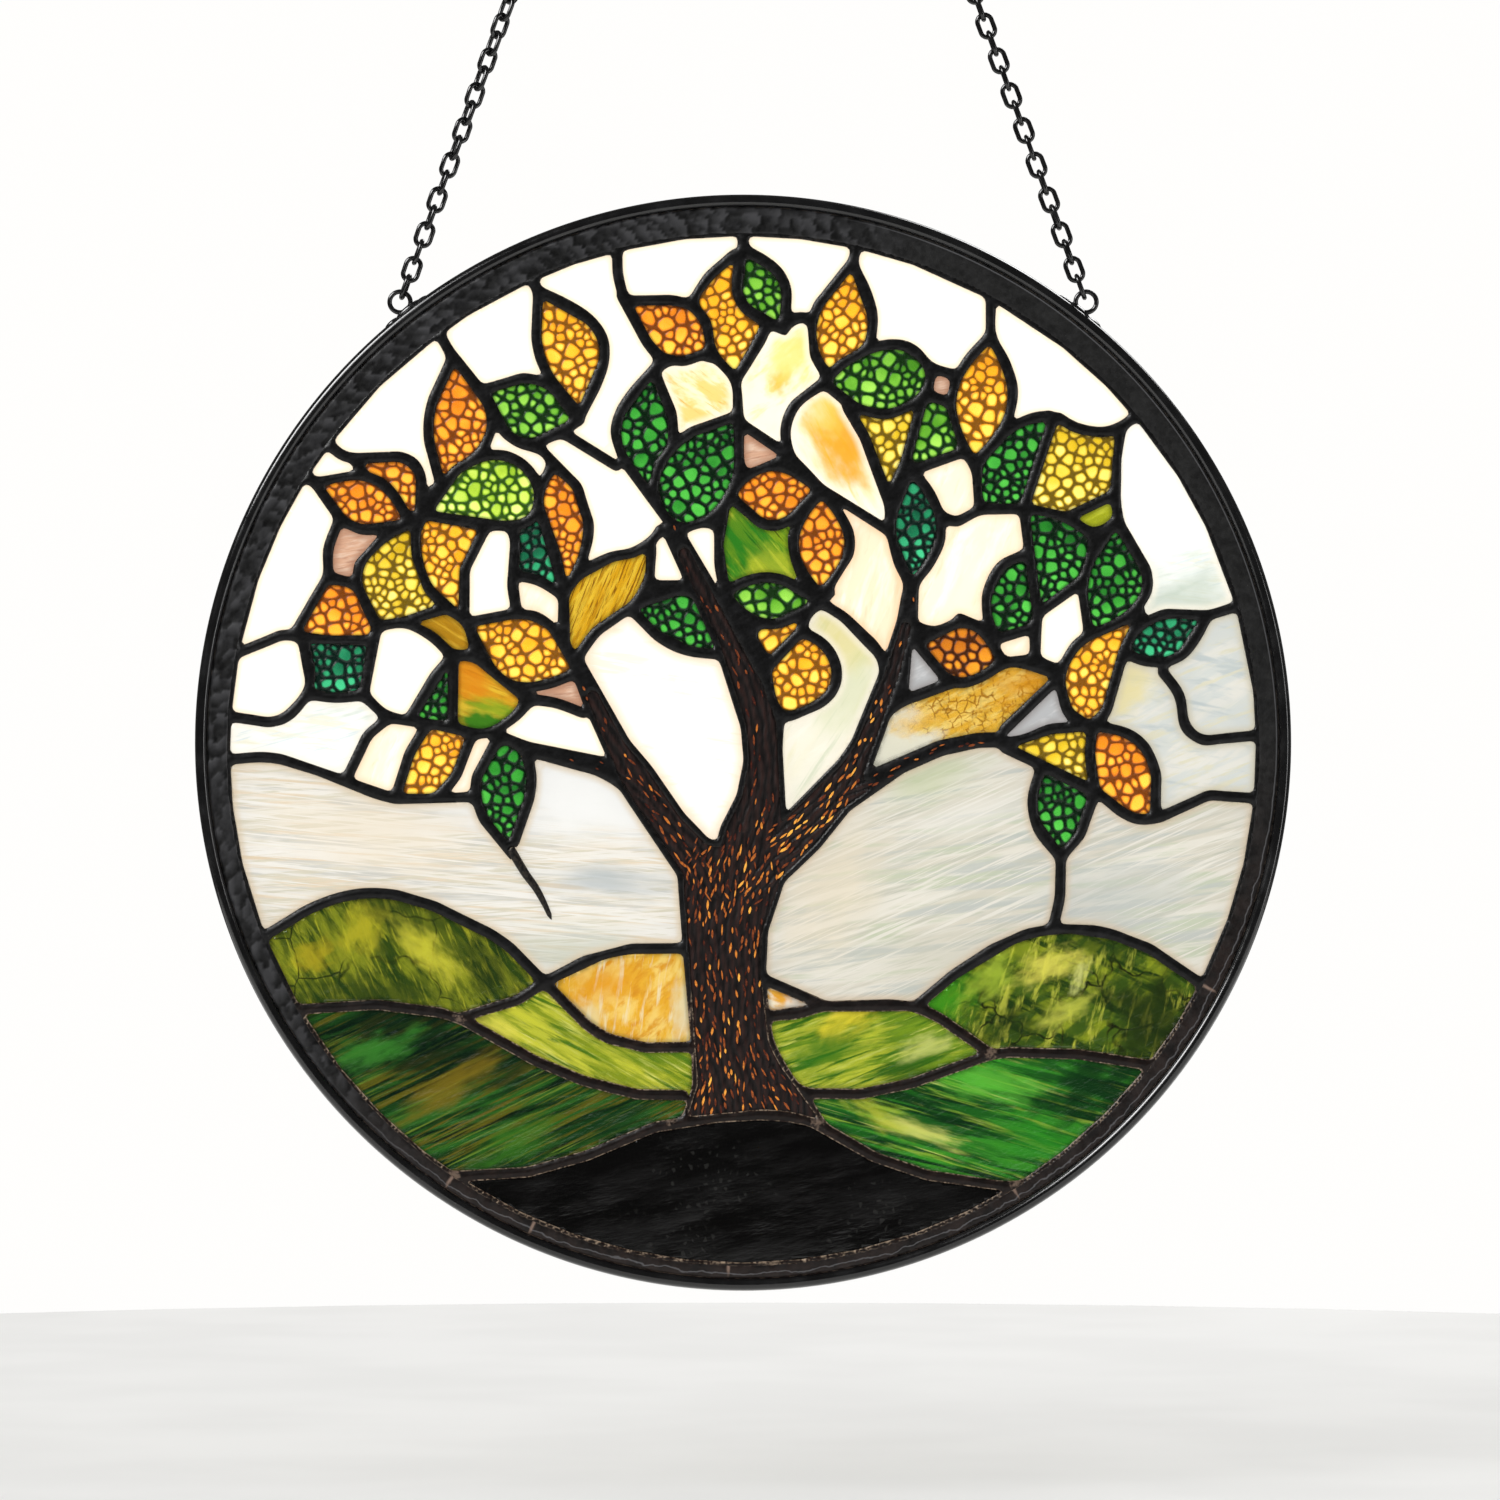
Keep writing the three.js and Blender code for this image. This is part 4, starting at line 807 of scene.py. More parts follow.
    add_look("ember", (0.85, 0.42, 0.04), [((0.95, 0.86, 0.66), -20, 8, 3, 0.4, 0.6, 3)],
             spots=[((0.86, 0.84, 0.78), 16, -73, 2, 5, 0.8)], clear=0.6)
    add_look("sunset", (0.8, 0.4, 0.02), [
        ((0.93, 0.64, 0.05), -22, 18, 2.0, 0.42, 0.6, 2),
        ((0.5, 0.2, 0.01), -22, 16, 1.2, 0.58, 0.75, 16)],
        spots=[((0.05, 0.27, 0.016), -66, 4.5, 3.5, 4.5, 0.97, -14, 2.4),
               ((0.5, 0.6, 0.03), -68, 9.5, 0.5, 2.6, 0.6, -16, 4.0),
               ((0.86, 0.3, 0.01), -77, 19, 2, 6, 0.7, -30, 1.6)])
    add_look("jungle", (0.3, 0.46, 0.02), [
        ((0.04, 0.28, 0.02), -52, 22, 3.6, 0.44, 0.6, 12),
        ((0.7, 0.76, 0.06), -50, 18, 1.6, 0.52, 0.7, 25),
        ((0.012, 0.05, 0.006), -50, 16, 0.9, 0.58, 0.72, 43)],
        spots=[((0.62, 0.66, 0.05), 9, 45, 4, 8, 0.6), ((0.03, 0.26, 0.02), -2, 57, 4, 7, 0.6)])
    add_look("streaky_amber", (0.56, 0.3, 0.012), [
        ((0.8, 0.5, 0.04), -35, 14, 1.6, 0.44, 0.62, 5),
        ((0.3, 0.14, 0.008), -35, 12, 0.9, 0.56, 0.7, 31)])
    add_look("streaky_gold", (0.84, 0.48, 0.012), [
        ((0.95, 0.68, 0.06), 66, 12, 2.4, 0.42, 0.62, 7),
        ((0.6, 0.32, 0.01), 62, 10, 1.2, 0.5, 0.64, 19),
        ((0.26, 0.11, 0.005), 68, 8, 0.45, 0.55, 0.63, 29)])
    add_look("pearl_gold", (0.86, 0.52, 0.05), [
        ((0.97, 0.74, 0.2), 28, 9, 2.4, 0.44, 0.6, 7),
        ((0.6, 0.3, 0.02), 24, 8, 1.2, 0.55, 0.7, 29)],
        cracks=((0.36, 0.17, 0.015), 2.3, 0.34, 0.5),
        spots=[((0.86, 0.84, 0.7), 37, -3, 9, 7, 1.0, 20, 1.3),
               ((0.9, 0.62, 0.2), 46, 6, 0.5, 5, 0.6, 20, 1.6),
               ((0.72, 0.32, 0.01), 81, 18, 3, 8, 0.7, 20, 1.5)])
    add_look("olive", (0.46, 0.5, 0.02), [
        ((0.66, 0.7, 0.06), 25, 9, 2, 0.44, 0.66, 2)])
    return made


def bark_glass():
    paint = Paint("bark_glass")
    ridge = paint.number("ridge")
    grain = paint.noise(paint.place(86, 6, 0.8), detail=5, rough=0.65)
    light = paint.sums("ADD", paint.sums("MULTIPLY", ridge, 0.5),
                       paint.sums("MULTIPLY", grain, 0.6))
    colour = paint.ramp(light, [(0.3, (0.002, 0.0015, 0.0016)), (0.55, (0.009, 0.0048, 0.0045)),
                                (0.8, (0.034, 0.012, 0.009))])
    paint.bump(grain, 0.4, 0.5)
    return paint.finish(colour, rough=paint.span(grain, 0.3, 0.8, 0.3, 0.5), specular=0.3)


def ground_glass():
    paint = Paint("ground_glass")
    speck = paint.veins(paint.place(long=2.2, short=2.2))
    patch = paint.noise(paint.place(long=26, short=14), detail=2)
    chips = paint.sums("MULTIPLY", paint.span(speck, 0.3, 0.36), paint.span(patch, 0.48, 0.62))
    colour = paint.mix(chips, (0.0012, 0.0011, 0.001), (0.014, 0.014, 0.013))
    haze = paint.noise(paint.place(12, 20, 6), detail=4)
    paint.bump(haze, 0.4, 0.3)
    return paint.finish(colour, rough=paint.span(haze, 0.35, 0.7, 0.1, 0.22), specular=0.4)


looks = {kind: crackled_glass(kind) for kind in CRACKLE}
looks.update(opal_looks())
looks.update(streaked_looks())
looks["bark"] = bark_glass()
looks["ground"] = ground_glass()


# ---- Meshes --------------------------------------------------------------------------------


def mesh_piece(name, vertices, faces, smooth=True):
    mesh = bpy.data.meshes.new(name)
    placed = (np.array(vertices, float) - [0, 0, PANEL_DROP]) * MM
    mesh.from_pydata(placed.tolist(), [], faces)
    mesh.polygons.foreach_set("use_smooth", np.full(len(faces), smooth))
    mesh.update()
    return add(name, mesh)


def grid_faces(rows, around, closed=True):
    """Faces of rows of points, each row a loop. Closed rows also join the last to the first."""
    return [[i * around + j, i * around + (j + 1) % around,
             (i + 1) % rows * around + (j + 1) % around, (i + 1) % rows * around + j]
            for i in range(rows if closed else rows - 1) for j in range(around)]


def swept(middles, headings, profile):
    """A closed tube: (across, depth) pairs carried round a line in the x-z plane."""
    vertices = []
    for (x, z), heading in zip(middles, headings):
        vertices += [(x + a * math.cos(heading), y, z + a * math.sin(heading))
                     for a, y in profile]
    return vertices, grid_faces(len(middles), len(profile))


def oval(half_width, half_depth, count, power):
    """Points round a soft-cornered oval."""
    points = []
    for n in range(count):
        c, s = math.cos(2 * math.pi * n / count), math.sin(2 * math.pi * n / count)
        points.append((half_width * math.copysign(abs(c) ** (2 / power), c),
                       half_depth * math.copysign(abs(s) ** (2 / power), s)))
    return points


def torus(centre, radius, tube, turns, sides):
    """A round wire ring that faces the viewer."""
    vertices = []
    for i in range(turns):
        a = 2 * math.pi * i / turns
        for j in range(sides):
            b = 2 * math.pi * j / sides
            reach = radius + tube * math.cos(b)
            vertices.append((centre[0] + reach * math.cos(a), tube * math.sin(b),
                             centre[1] + reach * math.sin(a)))
    return vertices, grid_faces(turns, sides)


def merged(parts):
    """Several meshes as one."""
    vertices, faces = [], []
    for some, more in parts:
        faces += [[v + len(vertices) for v in face] for face in more]
        vertices += some
    return vertices, faces


# ---- Panes ---------------------------------------------------------------------------------

GLASS_OVERLAP = 0.6
UNDER_LEAD = -GLASS_OVERLAP - 0.2
COARSE_AREA = 330.0
FINE, MEDIUM, COARSE = 1, 2, 4


def cells(points, size, made):
    """For each point: the distance to the edge of its cell in millimetres, and the cell's tone.
    Cells have three sizes, so that small ones fill the gaps between the large."""
    low, high = points.min(axis=0) - 4, points.max(axis=0) + 4
    seeds = []
    tries = int((high[0] - low[0]) * (high[1] - low[1]) / size ** 2 * 14)
    for candidate in made.uniform(low, high, (tries, 2)):
        room = size * made.choice((0.42, 0.78, 1.05))
        if all((candidate[0] - s[0]) ** 2 + (candidate[1] - s[1]) ** 2 > (room * 0.5 + s[2]) ** 2
               for s in seeds):
            seeds.append((candidate[0], candidate[1], room * 0.5))
    seeds = np.array(seeds)
    gaps = np.hypot(points[:, None, 0] - seeds[None, :, 0],
                    points[:, None, 1] - seeds[None, :, 1]) - 0.6 * seeds[None, :, 2]
    order = np.argsort(gaps, axis=1)[:, :2]
    rows = np.arange(len(points))
    first, second = gaps[rows, order[:, 0]], gaps[rows, order[:, 1]]
    tones = made.uniform(0, 1, len(seeds))
    corner = np.clip(first - 0.05 * size, 0, None)
    return (second - first) / 2 - 0.3 * corner, tones[order[:, 0]]


def ripple(points, size, seed):
    """Smooth noise from -1 to 1."""
    made = np.random.default_rng(seed)
    total = np.zeros(len(points))
    for octave in range(3):
        for _ in range(3):
            heading, phase = made.uniform(0, 2 * math.pi, 2)
            along = points[:, 0] * math.cos(heading) + points[:, 1] * math.sin(heading)
            across = points[:, 1] * math.cos(heading) - points[:, 0] * math.sin(heading)
            bend = 0.8 * np.sin(across * 1.7 * 2 ** octave / size + phase)
            total += 0.5 ** octave * np.sin(6.28 * 2 ** octave * along / size + bend + phase)
    return total / 5.25


CELL_RISE = 0.3
CELL_SHOULDER = 0.95             # from a cell's edge to the top of its dome
CELL_SUNK = 0.25                 # of the dark between cells, below the face of plain glass
PLAIN_RIPPLE = 0.09
BACK_RIPPLE = 0.05


def crackle_pane(name, field, look, seed, middle, top):
    """A leaf of crackled glass: each cell is a low dome, and the tone drifts along the leaf."""
    made = np.random.default_rng(seed)
    known = {}
    size = CRACKLE[look][-1]

    def lookup(points):
        key = len(points)
        if key not in known:
            known[key] = cells(points, size, made)
        return known[key]

    def front(points):
        inset, _ = lookup(points)
        dome = np.clip(inset / CELL_SHOULDER, 0, 1)
        return -(GLASS_FRONT - CELL_SUNK + CELL_RISE * np.sqrt(1 - (1 - dome) ** 2))

    def back(points):
        return GLASS_FRONT + BACK_RIPPLE * ripple(points, 6, seed)

    def tone(points):
        lean = (middle[1] - points[:, 1]) / max(top, 1)
        return np.clip(0.55 * lookup(points)[1] + 0.22 + 0.3 * lean, 0, 1)

    return slab(name, field, front, back, FINE,
                {"cell": lambda p: lookup(p)[0], "tone": tone, "edge": edge_reader(field)})


def edge_reader(field):
    return lambda points: np.clip(sampled(field, points) - GLASS_OVERLAP, 0, 9)


def plain_pane(name, field, step, seed):
    """A pane whose two faces are only a little uneven."""
    return slab(name, field,
                lambda p: -GLASS_FRONT + PLAIN_RIPPLE * ripple(p, 17, seed),
                lambda p: GLASS_FRONT - PLAIN_RIPPLE * ripple(p, 13, seed + 1), step,
                {"edge": edge_reader(field)})


for number, loop in enumerate(openings):
    look = look_of.get(number, "sky")
    node = node_of.get(number)
    name = "glass_" + (node or "%s_chip_%d" % (look, number))
    own = np.where(label == number, distance, -distance)
    own = np.where((nearest == number) | (label == number), own, UNDER_LEAD) + GLASS_OVERLAP
    area = abs(area_of(loop))
    if look == "bark":
        bark_number, bark_field = number, own
        continue
    if look in CRACKLE:
        height = float(np.ptp(loop[:, 1])) / 2
        pane = crackle_pane(name, own, look, SEED + number, loop.mean(axis=0), height)
    else:
        pane = plain_pane(name, own, COARSE if area > COARSE_AREA else MEDIUM, SEED + number)
    pane.data.materials.append(looks[look])
    if node:
        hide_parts(node)


# The lead lines are rounded beads of solder, highest along the middle of each line.
BEAD_RADIUS = 1.5
BEAD_RISE = 0.95


# ---- The tree ------------------------------------------------------------------------------

# Each limb is a run of (x, z, width). Bark grain and flecks follow them.
LIMBS = [
    [(1.5, -106, 44), (1.2, -102, 38), (0, -96, 31.5), (-1, -91, 26.5), (-2.8, -83, 22.8),
     (-4.1, -72, 21.8), (-5, -61.6, 22.3), (-5, -51, 23.8), (-4.2, -42.8, 27.5),
     (-3.3, -36.5, 30), (-1.5, -28, 24)],
    [(-5, -44, 8), (-14, -31, 13.5), (-20.5, -22.5, 11), (-29.5, -9.5, 11), (-34.4, -1, 7.6),
     (-37.8, 6, 7.2), (-41.8, 14, 6.6), (-44, 19, 5.4), (-46.5, 24, 3.4)],
    [(-22, -20, 4), (-31.5, -10.2, 7), (-39.5, -6.2, 5.8), (-48.7, -4, 4.2),
     (-58.8, -1.8, 4.2), (-68.5, 2, 4)],
    [(0, -42, 10), (8, -31, 15), (16.4, -24, 13.4), (23.8, -16, 12.2), (30, -7.5, 10),
     (33.2, -0.5, 7.5), (36.8, 8, 7.4), (41.2, 20, 6.8), (44.9, 33, 5.8), (46, 43, 4.4)],
    [(26, -15.5, 9), (34.3, -11.2, 6.4), (43, -6, 5), (54, -1.5, 4.4), (64, 0.6, 4.2),
     (71.5, 0.8, 4.2)],
    [(0.5, -38, 19), (3, -25, 19), (4.9, -15, 13.4), (5.5, -5, 10.8), (5, 5, 11.4),
     (2.6, 13, 10.6), (-1, 21, 9.6), (-4.4, 29, 8.2), (-8.2, 37, 7.6), (-13, 46, 7.2),
     (-16.8, 53, 6.6), (-20.2, 59.5, 5)],
]


def along_limbs(points):
    """For each point: how far along its limb it is, how far to the side, and the limb's width."""
    best = np.full(len(points), 1e9)
    along, side, width = np.zeros(len(points)), np.zeros(len(points)), np.ones(len(points))
    for number, limb in enumerate(LIMBS):
        walked = number * 190.0
        for (x0, z0, w0), (x1, z1, w1) in zip(limb, limb[1:]):
            run = np.array([x1 - x0, z1 - z0], float)
            length = np.hypot(*run)
            offset = points - [x0, z0]
            share = np.clip(offset @ run / length ** 2, 0, 1)
            across = (offset[:, 1] * run[0] - offset[:, 0] * run[1]) / length
            wide = w0 + (w1 - w0) * share
            gap = np.hypot(*(offset - share[:, None] * run).T) / wide
            closer = gap < best
            best[closer] = gap[closer]
            along[closer] = walked + share[closer] * length
            side[closer] = across[closer]
            width[closer] = wide[closer]
            walked += length
    return along, side, width


def bark_ridge(points):
    """Heights of ridges that run along the limbs."""
    along, side, width = along_limbs(points)
    wander = 0.5 * np.sin(along / 5.3) + 0.3 * np.sin(along / 2.1 + side)
    return (0.5 + 0.32 * np.sin(2.9 * (side + wander)) + 0.18 * np.sin(1.3 * side + along * 0.9)
            * np.cos(0.7 * along))


BARK_RISE = 0.35
BARK_SUNK = 0.2


def bark_front(points):
    return GLASS_FRONT - BARK_SUNK + BARK_RISE * bark_ridge(points)


trunk = slab("bark_of_tree", bark_field, lambda p: -bark_front(p), bark_front, FINE,
             {"ridge": bark_ridge})
trunk.data.materials.append(looks["bark"])
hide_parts("tree_trunk")

# Flecks of glowing glass along the grain: how many for each square centimetre near the foot of
# each limb and at its tip, how far from the limb's middle they reach, and how light they are.
FLECKS = [
    (14, 15, 0.46, 0.44), (12, 2.0, 0.42, 0.32), (5, 1, 0.4, 0.25), (18, 2.0, 0.44, 0.68),
    (14, 5, 0.36, 0.34), (6, 2.0, 0.42, 0.22),
]
FLECK_OUTLINE = [(-1, 0), (-0.45, -0.8), (0.35, -1), (1, 0), (0.45, 0.8), (-0.35, 1)]
FLECK_RISE = 0.16                # of a fleck's face above the bark
FLECK_LEAD_RISE = 0.15           # and above the lead
FLECK_HIDE = 0.5                 # flecks on the bark keep this far from the lead
FLECK_GAP = 1.5                  # and this far from the ones before them
THIN_LIMB = 10.0                 # where a limb is narrower, flecks also lie on its lead


def fleck_mesh():
    """The flecks on both faces of the tree, as one mesh, with a tone at each point."""
    made = np.random.default_rng(SEED + 5)
    vertices, faces, tones = [], [], []
    placed = []
    size = len(FLECK_OUTLINE)
    for limb, (foot, tip, reach, warmth) in zip(LIMBS, FLECKS):
        pieces = list(zip(limb, limb[1:]))
        for number, ((x0, z0, w0), (x1, z1, w1)) in enumerate(pieces):
            run = np.array([x1 - x0, z1 - z0], float)
            length = np.hypot(*run)
            run /= length
            normal = np.array([-run[1], run[0]])
            share = number / max(len(pieces) - 1, 1)
            density = (foot + (tip - foot) * share) / 100
            for _ in range(int(density * length * (w0 + w1) / 2 * 1.6)):
                t = made.uniform()
                wide = w0 + (w1 - w0) * t
                side = made.uniform(-reach, reach) * wide
                middle = np.array([x0, z0]) + run * length * t + normal * side
                long = made.uniform(0.7, 1.7) * (1.0 if wide > 9 else 0.7)
                place = grid_place(*middle)
                on_lead = label[place] == LEAD and wide < THIN_LIMB and abs(side) < 0.25 * wide
                hidden = not on_lead and (label[place] != bark_number
                                          or distance[place] < FLECK_HIDE)
                crowded = any(abs(middle[0] - p[0]) + abs(middle[1] - p[1]) < FLECK_GAP
                              for p in placed[-260:])
                if hidden or crowded:
                    continue
                placed.append(middle)
                lean = made.normal(0, 0.16) - 0.9 * side / wide * (w0 - w1) / length
                way = run * math.cos(lean) + normal * math.sin(lean)
                cross = np.array([-way[1], way[0]])
                thick = made.uniform(0.18, 0.36) * (1.15 if warmth > 0.6 else 1)
                tone = np.clip(made.normal(warmth, 0.24) - 0.25 * abs(side) / wide, 0, 1)
                start = len(vertices)
                corners = [middle + way * a * long + cross * b * thick
                           for a, b in FLECK_OUTLINE]
                top = float(bark_front(np.array([middle]))[0]) + FLECK_RISE
                if on_lead:
                    top = GLASS_FRONT + BEAD_RISE + FLECK_LEAD_RISE
                for depth in (-top, top):
                    vertices += [(c[0], depth, c[1]) for c in corners]
                    tones += [tone] * size
                back = start + size
                faces.append([start + k for k in range(size)])
                faces.append([back + k for k in reversed(range(size))])
                faces += [[start + (k + 1) % size, start + k, back + k, back + (k + 1) % size]
                          for k in range(size)]
    return vertices, faces, tones


vertices, faces, tones = fleck_mesh()
flecks = mesh_piece("bark_flecks", vertices, faces, smooth=False)
flecks.data.attributes.new("tone", "FLOAT", "POINT").data.foreach_set("value", tones)
paint = Paint("fleck_glass")
tone = paint.sums("ADD", paint.number("tone"), paint.span(
    paint.noise(paint.place(long=0.8, short=0.8)), 0.3, 0.7, -0.12, 0.12))
fleck_colour = paint.ramp(tone, [(0.05, (0.05, 0.01, 0.006)), (0.4, (0.26, 0.055, 0.012)),
                                 (0.7, (0.68, 0.2, 0.02)), (0.95, (0.95, 0.46, 0.06))])
# Painted light: the flecks glow in their own colour, as if light shone through them from behind.
flecks.data.materials.append(paint.finish(fleck_colour, rough=0.25, glow=0.18))


# ---- Lead ----------------------------------------------------------------------------------

# Blobs of solder where lines meet: place and radius. The first few also get a painted highlight.
SOLDER = [
    ((-77.7, -75.4), 2.2), ((68, -85), 2.4), ((-20, -102.5), 2.4), ((20.5, -104), 2.6),
    ((-79, -118), 2.3), ((75, -120), 2.6), ((-54.4, -65.5), 1.9), ((23, -72), 2.0),
    ((47, -72.3), 2.1), ((126, -66), 2.4), ((-63.6, -29), 2.0), ((87, -31), 1.9),
    ((39, 20), 2.0), ((11, 9), 1.8),
]
HIGHLIT_SOLDER = 6
BEAD_LIMIT = 1.15
BLOB_RISE = 0.22


def bead(points):
    """How far the rounded solder stands out on either side of the middle plane."""
    inset = sampled(distance, points)
    share = np.clip(inset / BEAD_RADIUS, 0, 1)
    rise = BEAD_RISE * np.sqrt(1 - (1 - share) ** 2)
    rise += 0.05 * share * ripple(points, 9, SEED + 70) + 0.035 * share * ripple(points, 3.4, 8)
    for (x, z), size in SOLDER:
        gap = np.hypot(points[:, 0] - x, points[:, 1] - z) / size
        rise += BLOB_RISE * np.clip(1 - gap ** 2, 0, 1) * share
    return GLASS_FRONT + np.clip(rise, 0, BEAD_LIMIT)


def lead_material():
    paint = Paint("patinated_lead")
    worn = paint.noise(paint.place(30, 5, 2.4), detail=5, rough=0.6)
    fine = paint.noise(paint.place(long=0.8, short=0.8), detail=4)
    dull = paint.ramp(worn, [(0.3, (0.002, 0.002, 0.002)), (0.55, (0.0042, 0.0042, 0.0045)),
                             (0.8, (0.018, 0.018, 0.02))])
    low = paint.span(paint.node("ShaderNodeSeparateXYZ", Vector=paint.place()).outputs["Z"],
                     -62, -78)
    brown = paint.ramp(worn, [(0.3, (0.004, 0.0022, 0.0018)), (0.6, (0.01, 0.0052, 0.004)),
                              (0.85, (0.04, 0.022, 0.016))])
    colour = paint.mix(low, dull, brown)
    # Painted highlight: a thin light line along the edges of the lead, strongest low on the panel.
    rim = paint.span(paint.number("inset"), 0.0, 0.42, 1.0, 0.0)
    thin = paint.ramp(fine, [(0.4, (0.03, 0.012, 0.008)), (0.62, (0.62, 0.46, 0.32))])
    bright = paint.sums("MULTIPLY", rim, paint.span(low, 0.0, 1.0, 0.04, 0.75))
    colour = paint.mix(bright, colour, thin)
    # Painted highlights: light tan spots on the first few solder blobs, all low on the panel.
    for (x, z), size in SOLDER[:HIGHLIT_SOLDER]:
        near = paint.spot(x, z, 0.1 * size, 0.8 * size, wobble=1.4)
        colour = paint.mix(paint.sums("MULTIPLY", near, 0.55), colour, (0.26, 0.18, 0.13))
    paint.bump(paint.sums("ADD", worn, paint.sums("MULTIPLY", fine, 0.4)), 0.25, 0.35)
    return paint.finish(colour, rough=paint.span(fine, 0.3, 0.75, 0.28, 0.45), specular=0.25)


signed = np.where((label == LEAD) & in_rim, distance, -distance)
lead = lead_material()
came = slab("solder_lines", signed, lambda p: -bead(p), bead, MEDIUM,
            {"inset": lambda p: sampled(distance, p)})
came.data.materials.append(lead)
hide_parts("lead_came")


def tapered_wire(name, line, thick, depth):
    """A soldered wire on the face of the glass, round in section and pointed at its end."""
    line = np.array(line, float)
    fine = [line[0]]
    for i in range(len(line) - 1):
        p0, p1 = line[max(i - 1, 0)], line[i]
        p2, p3 = line[i + 1], line[min(i + 2, len(line) - 1)]
        for s in range(1, 9):
            t = s / 8
            fine.append(0.5 * (2 * p1 + (p2 - p0) * t + (2 * p0 - 5 * p1 + 4 * p2 - p3) * t ** 2
                               + (3 * p1 - 3 * p2 + p3 - p0) * t ** 3))
    vertices = []
    sides = 12
    for i, p in enumerate(fine):
        way = fine[min(i + 1, len(fine) - 1)] - fine[max(i - 1, 0)]
        way /= np.hypot(*way)
        share = i / (len(fine) - 1)
        half = thick * (1 - 0.55 * share ** 1.5) * min(1, (1 - share) * 9 + 0.15)
        for j in range(sides):
            b = 2 * math.pi * j / sides
            vertices.append((p[0] - way[1] * half * math.cos(b), -depth - half * 0.7 * math.sin(b),
                             p[1] + way[0] * half * math.cos(b)))
    faces = grid_faces(len(fine), sides, closed=False)
    faces.append(list(range(sides))[::-1])
    faces.append([(len(fine) - 1) * sides + j for j in range(sides)])
    piece = mesh_piece(name, vertices, faces)
    piece.data.materials.append(lead)
    return piece


TENDRIL = [(-63.6, -29), (-59.8, -35.4), (-56.7, -39.7), (-54.3, -44.1), (-52.4, -48.4)]
tapered_wire("tendril_front", TENDRIL, 1.25, GLASS_FRONT + 0.35)


# ---- Border, ring, chains ------------------------------------------------------------------

def metal_material():
    paint = Paint("blackened_metal")
    worn = paint.noise(paint.place(long=7, short=7), detail=5)
    fine = paint.noise(paint.place(long=0.9, short=0.9), detail=3)
    colour = paint.ramp(worn, [(0.3, (0.0025, 0.0025, 0.0027)), (0.6, (0.005, 0.005, 0.0055)),
                               (0.85, (0.014, 0.014, 0.015))])
    paint.bump(fine, 0.08, 0.25)
    return paint.finish(colour, rough=paint.span(worn, 0.3, 0.75, 0.12, 0.26), specular=0.6,
                        coat=0.3)


SEAM_INSET = 1.5                 # of the solder seam from the outer edge, where it wanders
SEAM_STRAY = 3.0
PLAIN_SEAM_INSET = 0.75


def border_material():
    paint = Paint("hammered_border")
    facet = paint.number("facet")
    worn = paint.noise(paint.place(long=4, short=4), detail=4)
    # Painted light and shade: each hammered scale is lighter where its slant stands higher, with
    # worn patina noise over it.
    shaded_scales = paint.ramp(paint.sums("ADD", paint.sums("MULTIPLY", facet, 0.8),
                                  paint.sums("MULTIPLY", worn, 0.22)),
                       [(0.25, (0.003, 0.003, 0.003)), (0.5, (0.011, 0.011, 0.012)),
                        (0.8, (0.05, 0.05, 0.054))])
    brown = paint.ramp(worn, [(0.3, (0.005, 0.003, 0.0026)), (0.7, (0.02, 0.012, 0.01))])
    side = paint.number("smooth")
    lower = paint.number("brown")
    plain = paint.ramp(worn, [(0.3, (0.009, 0.009, 0.009)), (0.7, (0.016, 0.016, 0.016))])
    colour = paint.mix(lower, paint.mix(side, shaded_scales, plain), brown)
    fine = paint.noise(paint.place(long=1.3, short=1.3), detail=4)
    # Painted highlights: thin light lines along the border's inner and outer edges, strongest round
    # the lower right.
    for edge, width, amount, least in (("edge_in", 0.5, 0.75, 0.12), ("edge_out", 0.35, 0.4, 0.5)):
        rim = paint.span(paint.number(edge), 0.0, width, 1.0, 0.0)
        shown = paint.span(lower, 0.0, 1.0, least, 1.0)
        lit = paint.sums("MULTIPLY", paint.sums("MULTIPLY", rim, shown), amount)
        broken = paint.sums("MULTIPLY", lit, paint.span(fine, 0.4, 0.6))
        colour = paint.mix(broken, colour, (0.42, 0.31, 0.22))
    wander = paint.noise(paint.place(long=5, short=5), detail=3)
    stray = paint.sums("MULTIPLY", paint.sums("SUBTRACT", wander, 0.5),
                       paint.span(lower, 0.0, 1.0, 0.0, SEAM_STRAY))
    moved = paint.span(lower, 0.0, 1.0, SEAM_INSET - PLAIN_SEAM_INSET, 0.0)
    stray = paint.sums("ADD", stray, moved)
    drift = paint.sums("ADD", paint.number("edge_out"), stray)
    off = paint.sums("ABSOLUTE", paint.sums("SUBTRACT", drift, SEAM_INSET), 0.0)
    seam = paint.sums("MULTIPLY", paint.span(off, 0.06, 0.26, 1.0, 0.0), side)
    colour = paint.mix(paint.sums("MULTIPLY", seam, 0.5), colour, (0.16, 0.16, 0.17))
    # Painted highlights: light streaks on the border where lead lines meet it.
    for x, z, angle in ((127, -67, -28), (74, -122, -59), (-80, -119.5, 56), (-57.5, -132, 66),
                        (-4, -143, 88)):
        near = paint.spot(x, z, 0.12, 0.6, 0.5, angle, 5.0)
        colour = paint.mix(paint.sums("MULTIPLY", near, 0.7), colour, (0.3, 0.2, 0.15))
    paint.bump(paint.sums("ADD", worn, paint.sums("MULTIPLY", fine, 0.5)), 0.25, 0.4)
    return paint.finish(colour, rough=paint.span(fine, 0.3, 0.7, 0.3, 0.5), specular=0.35)


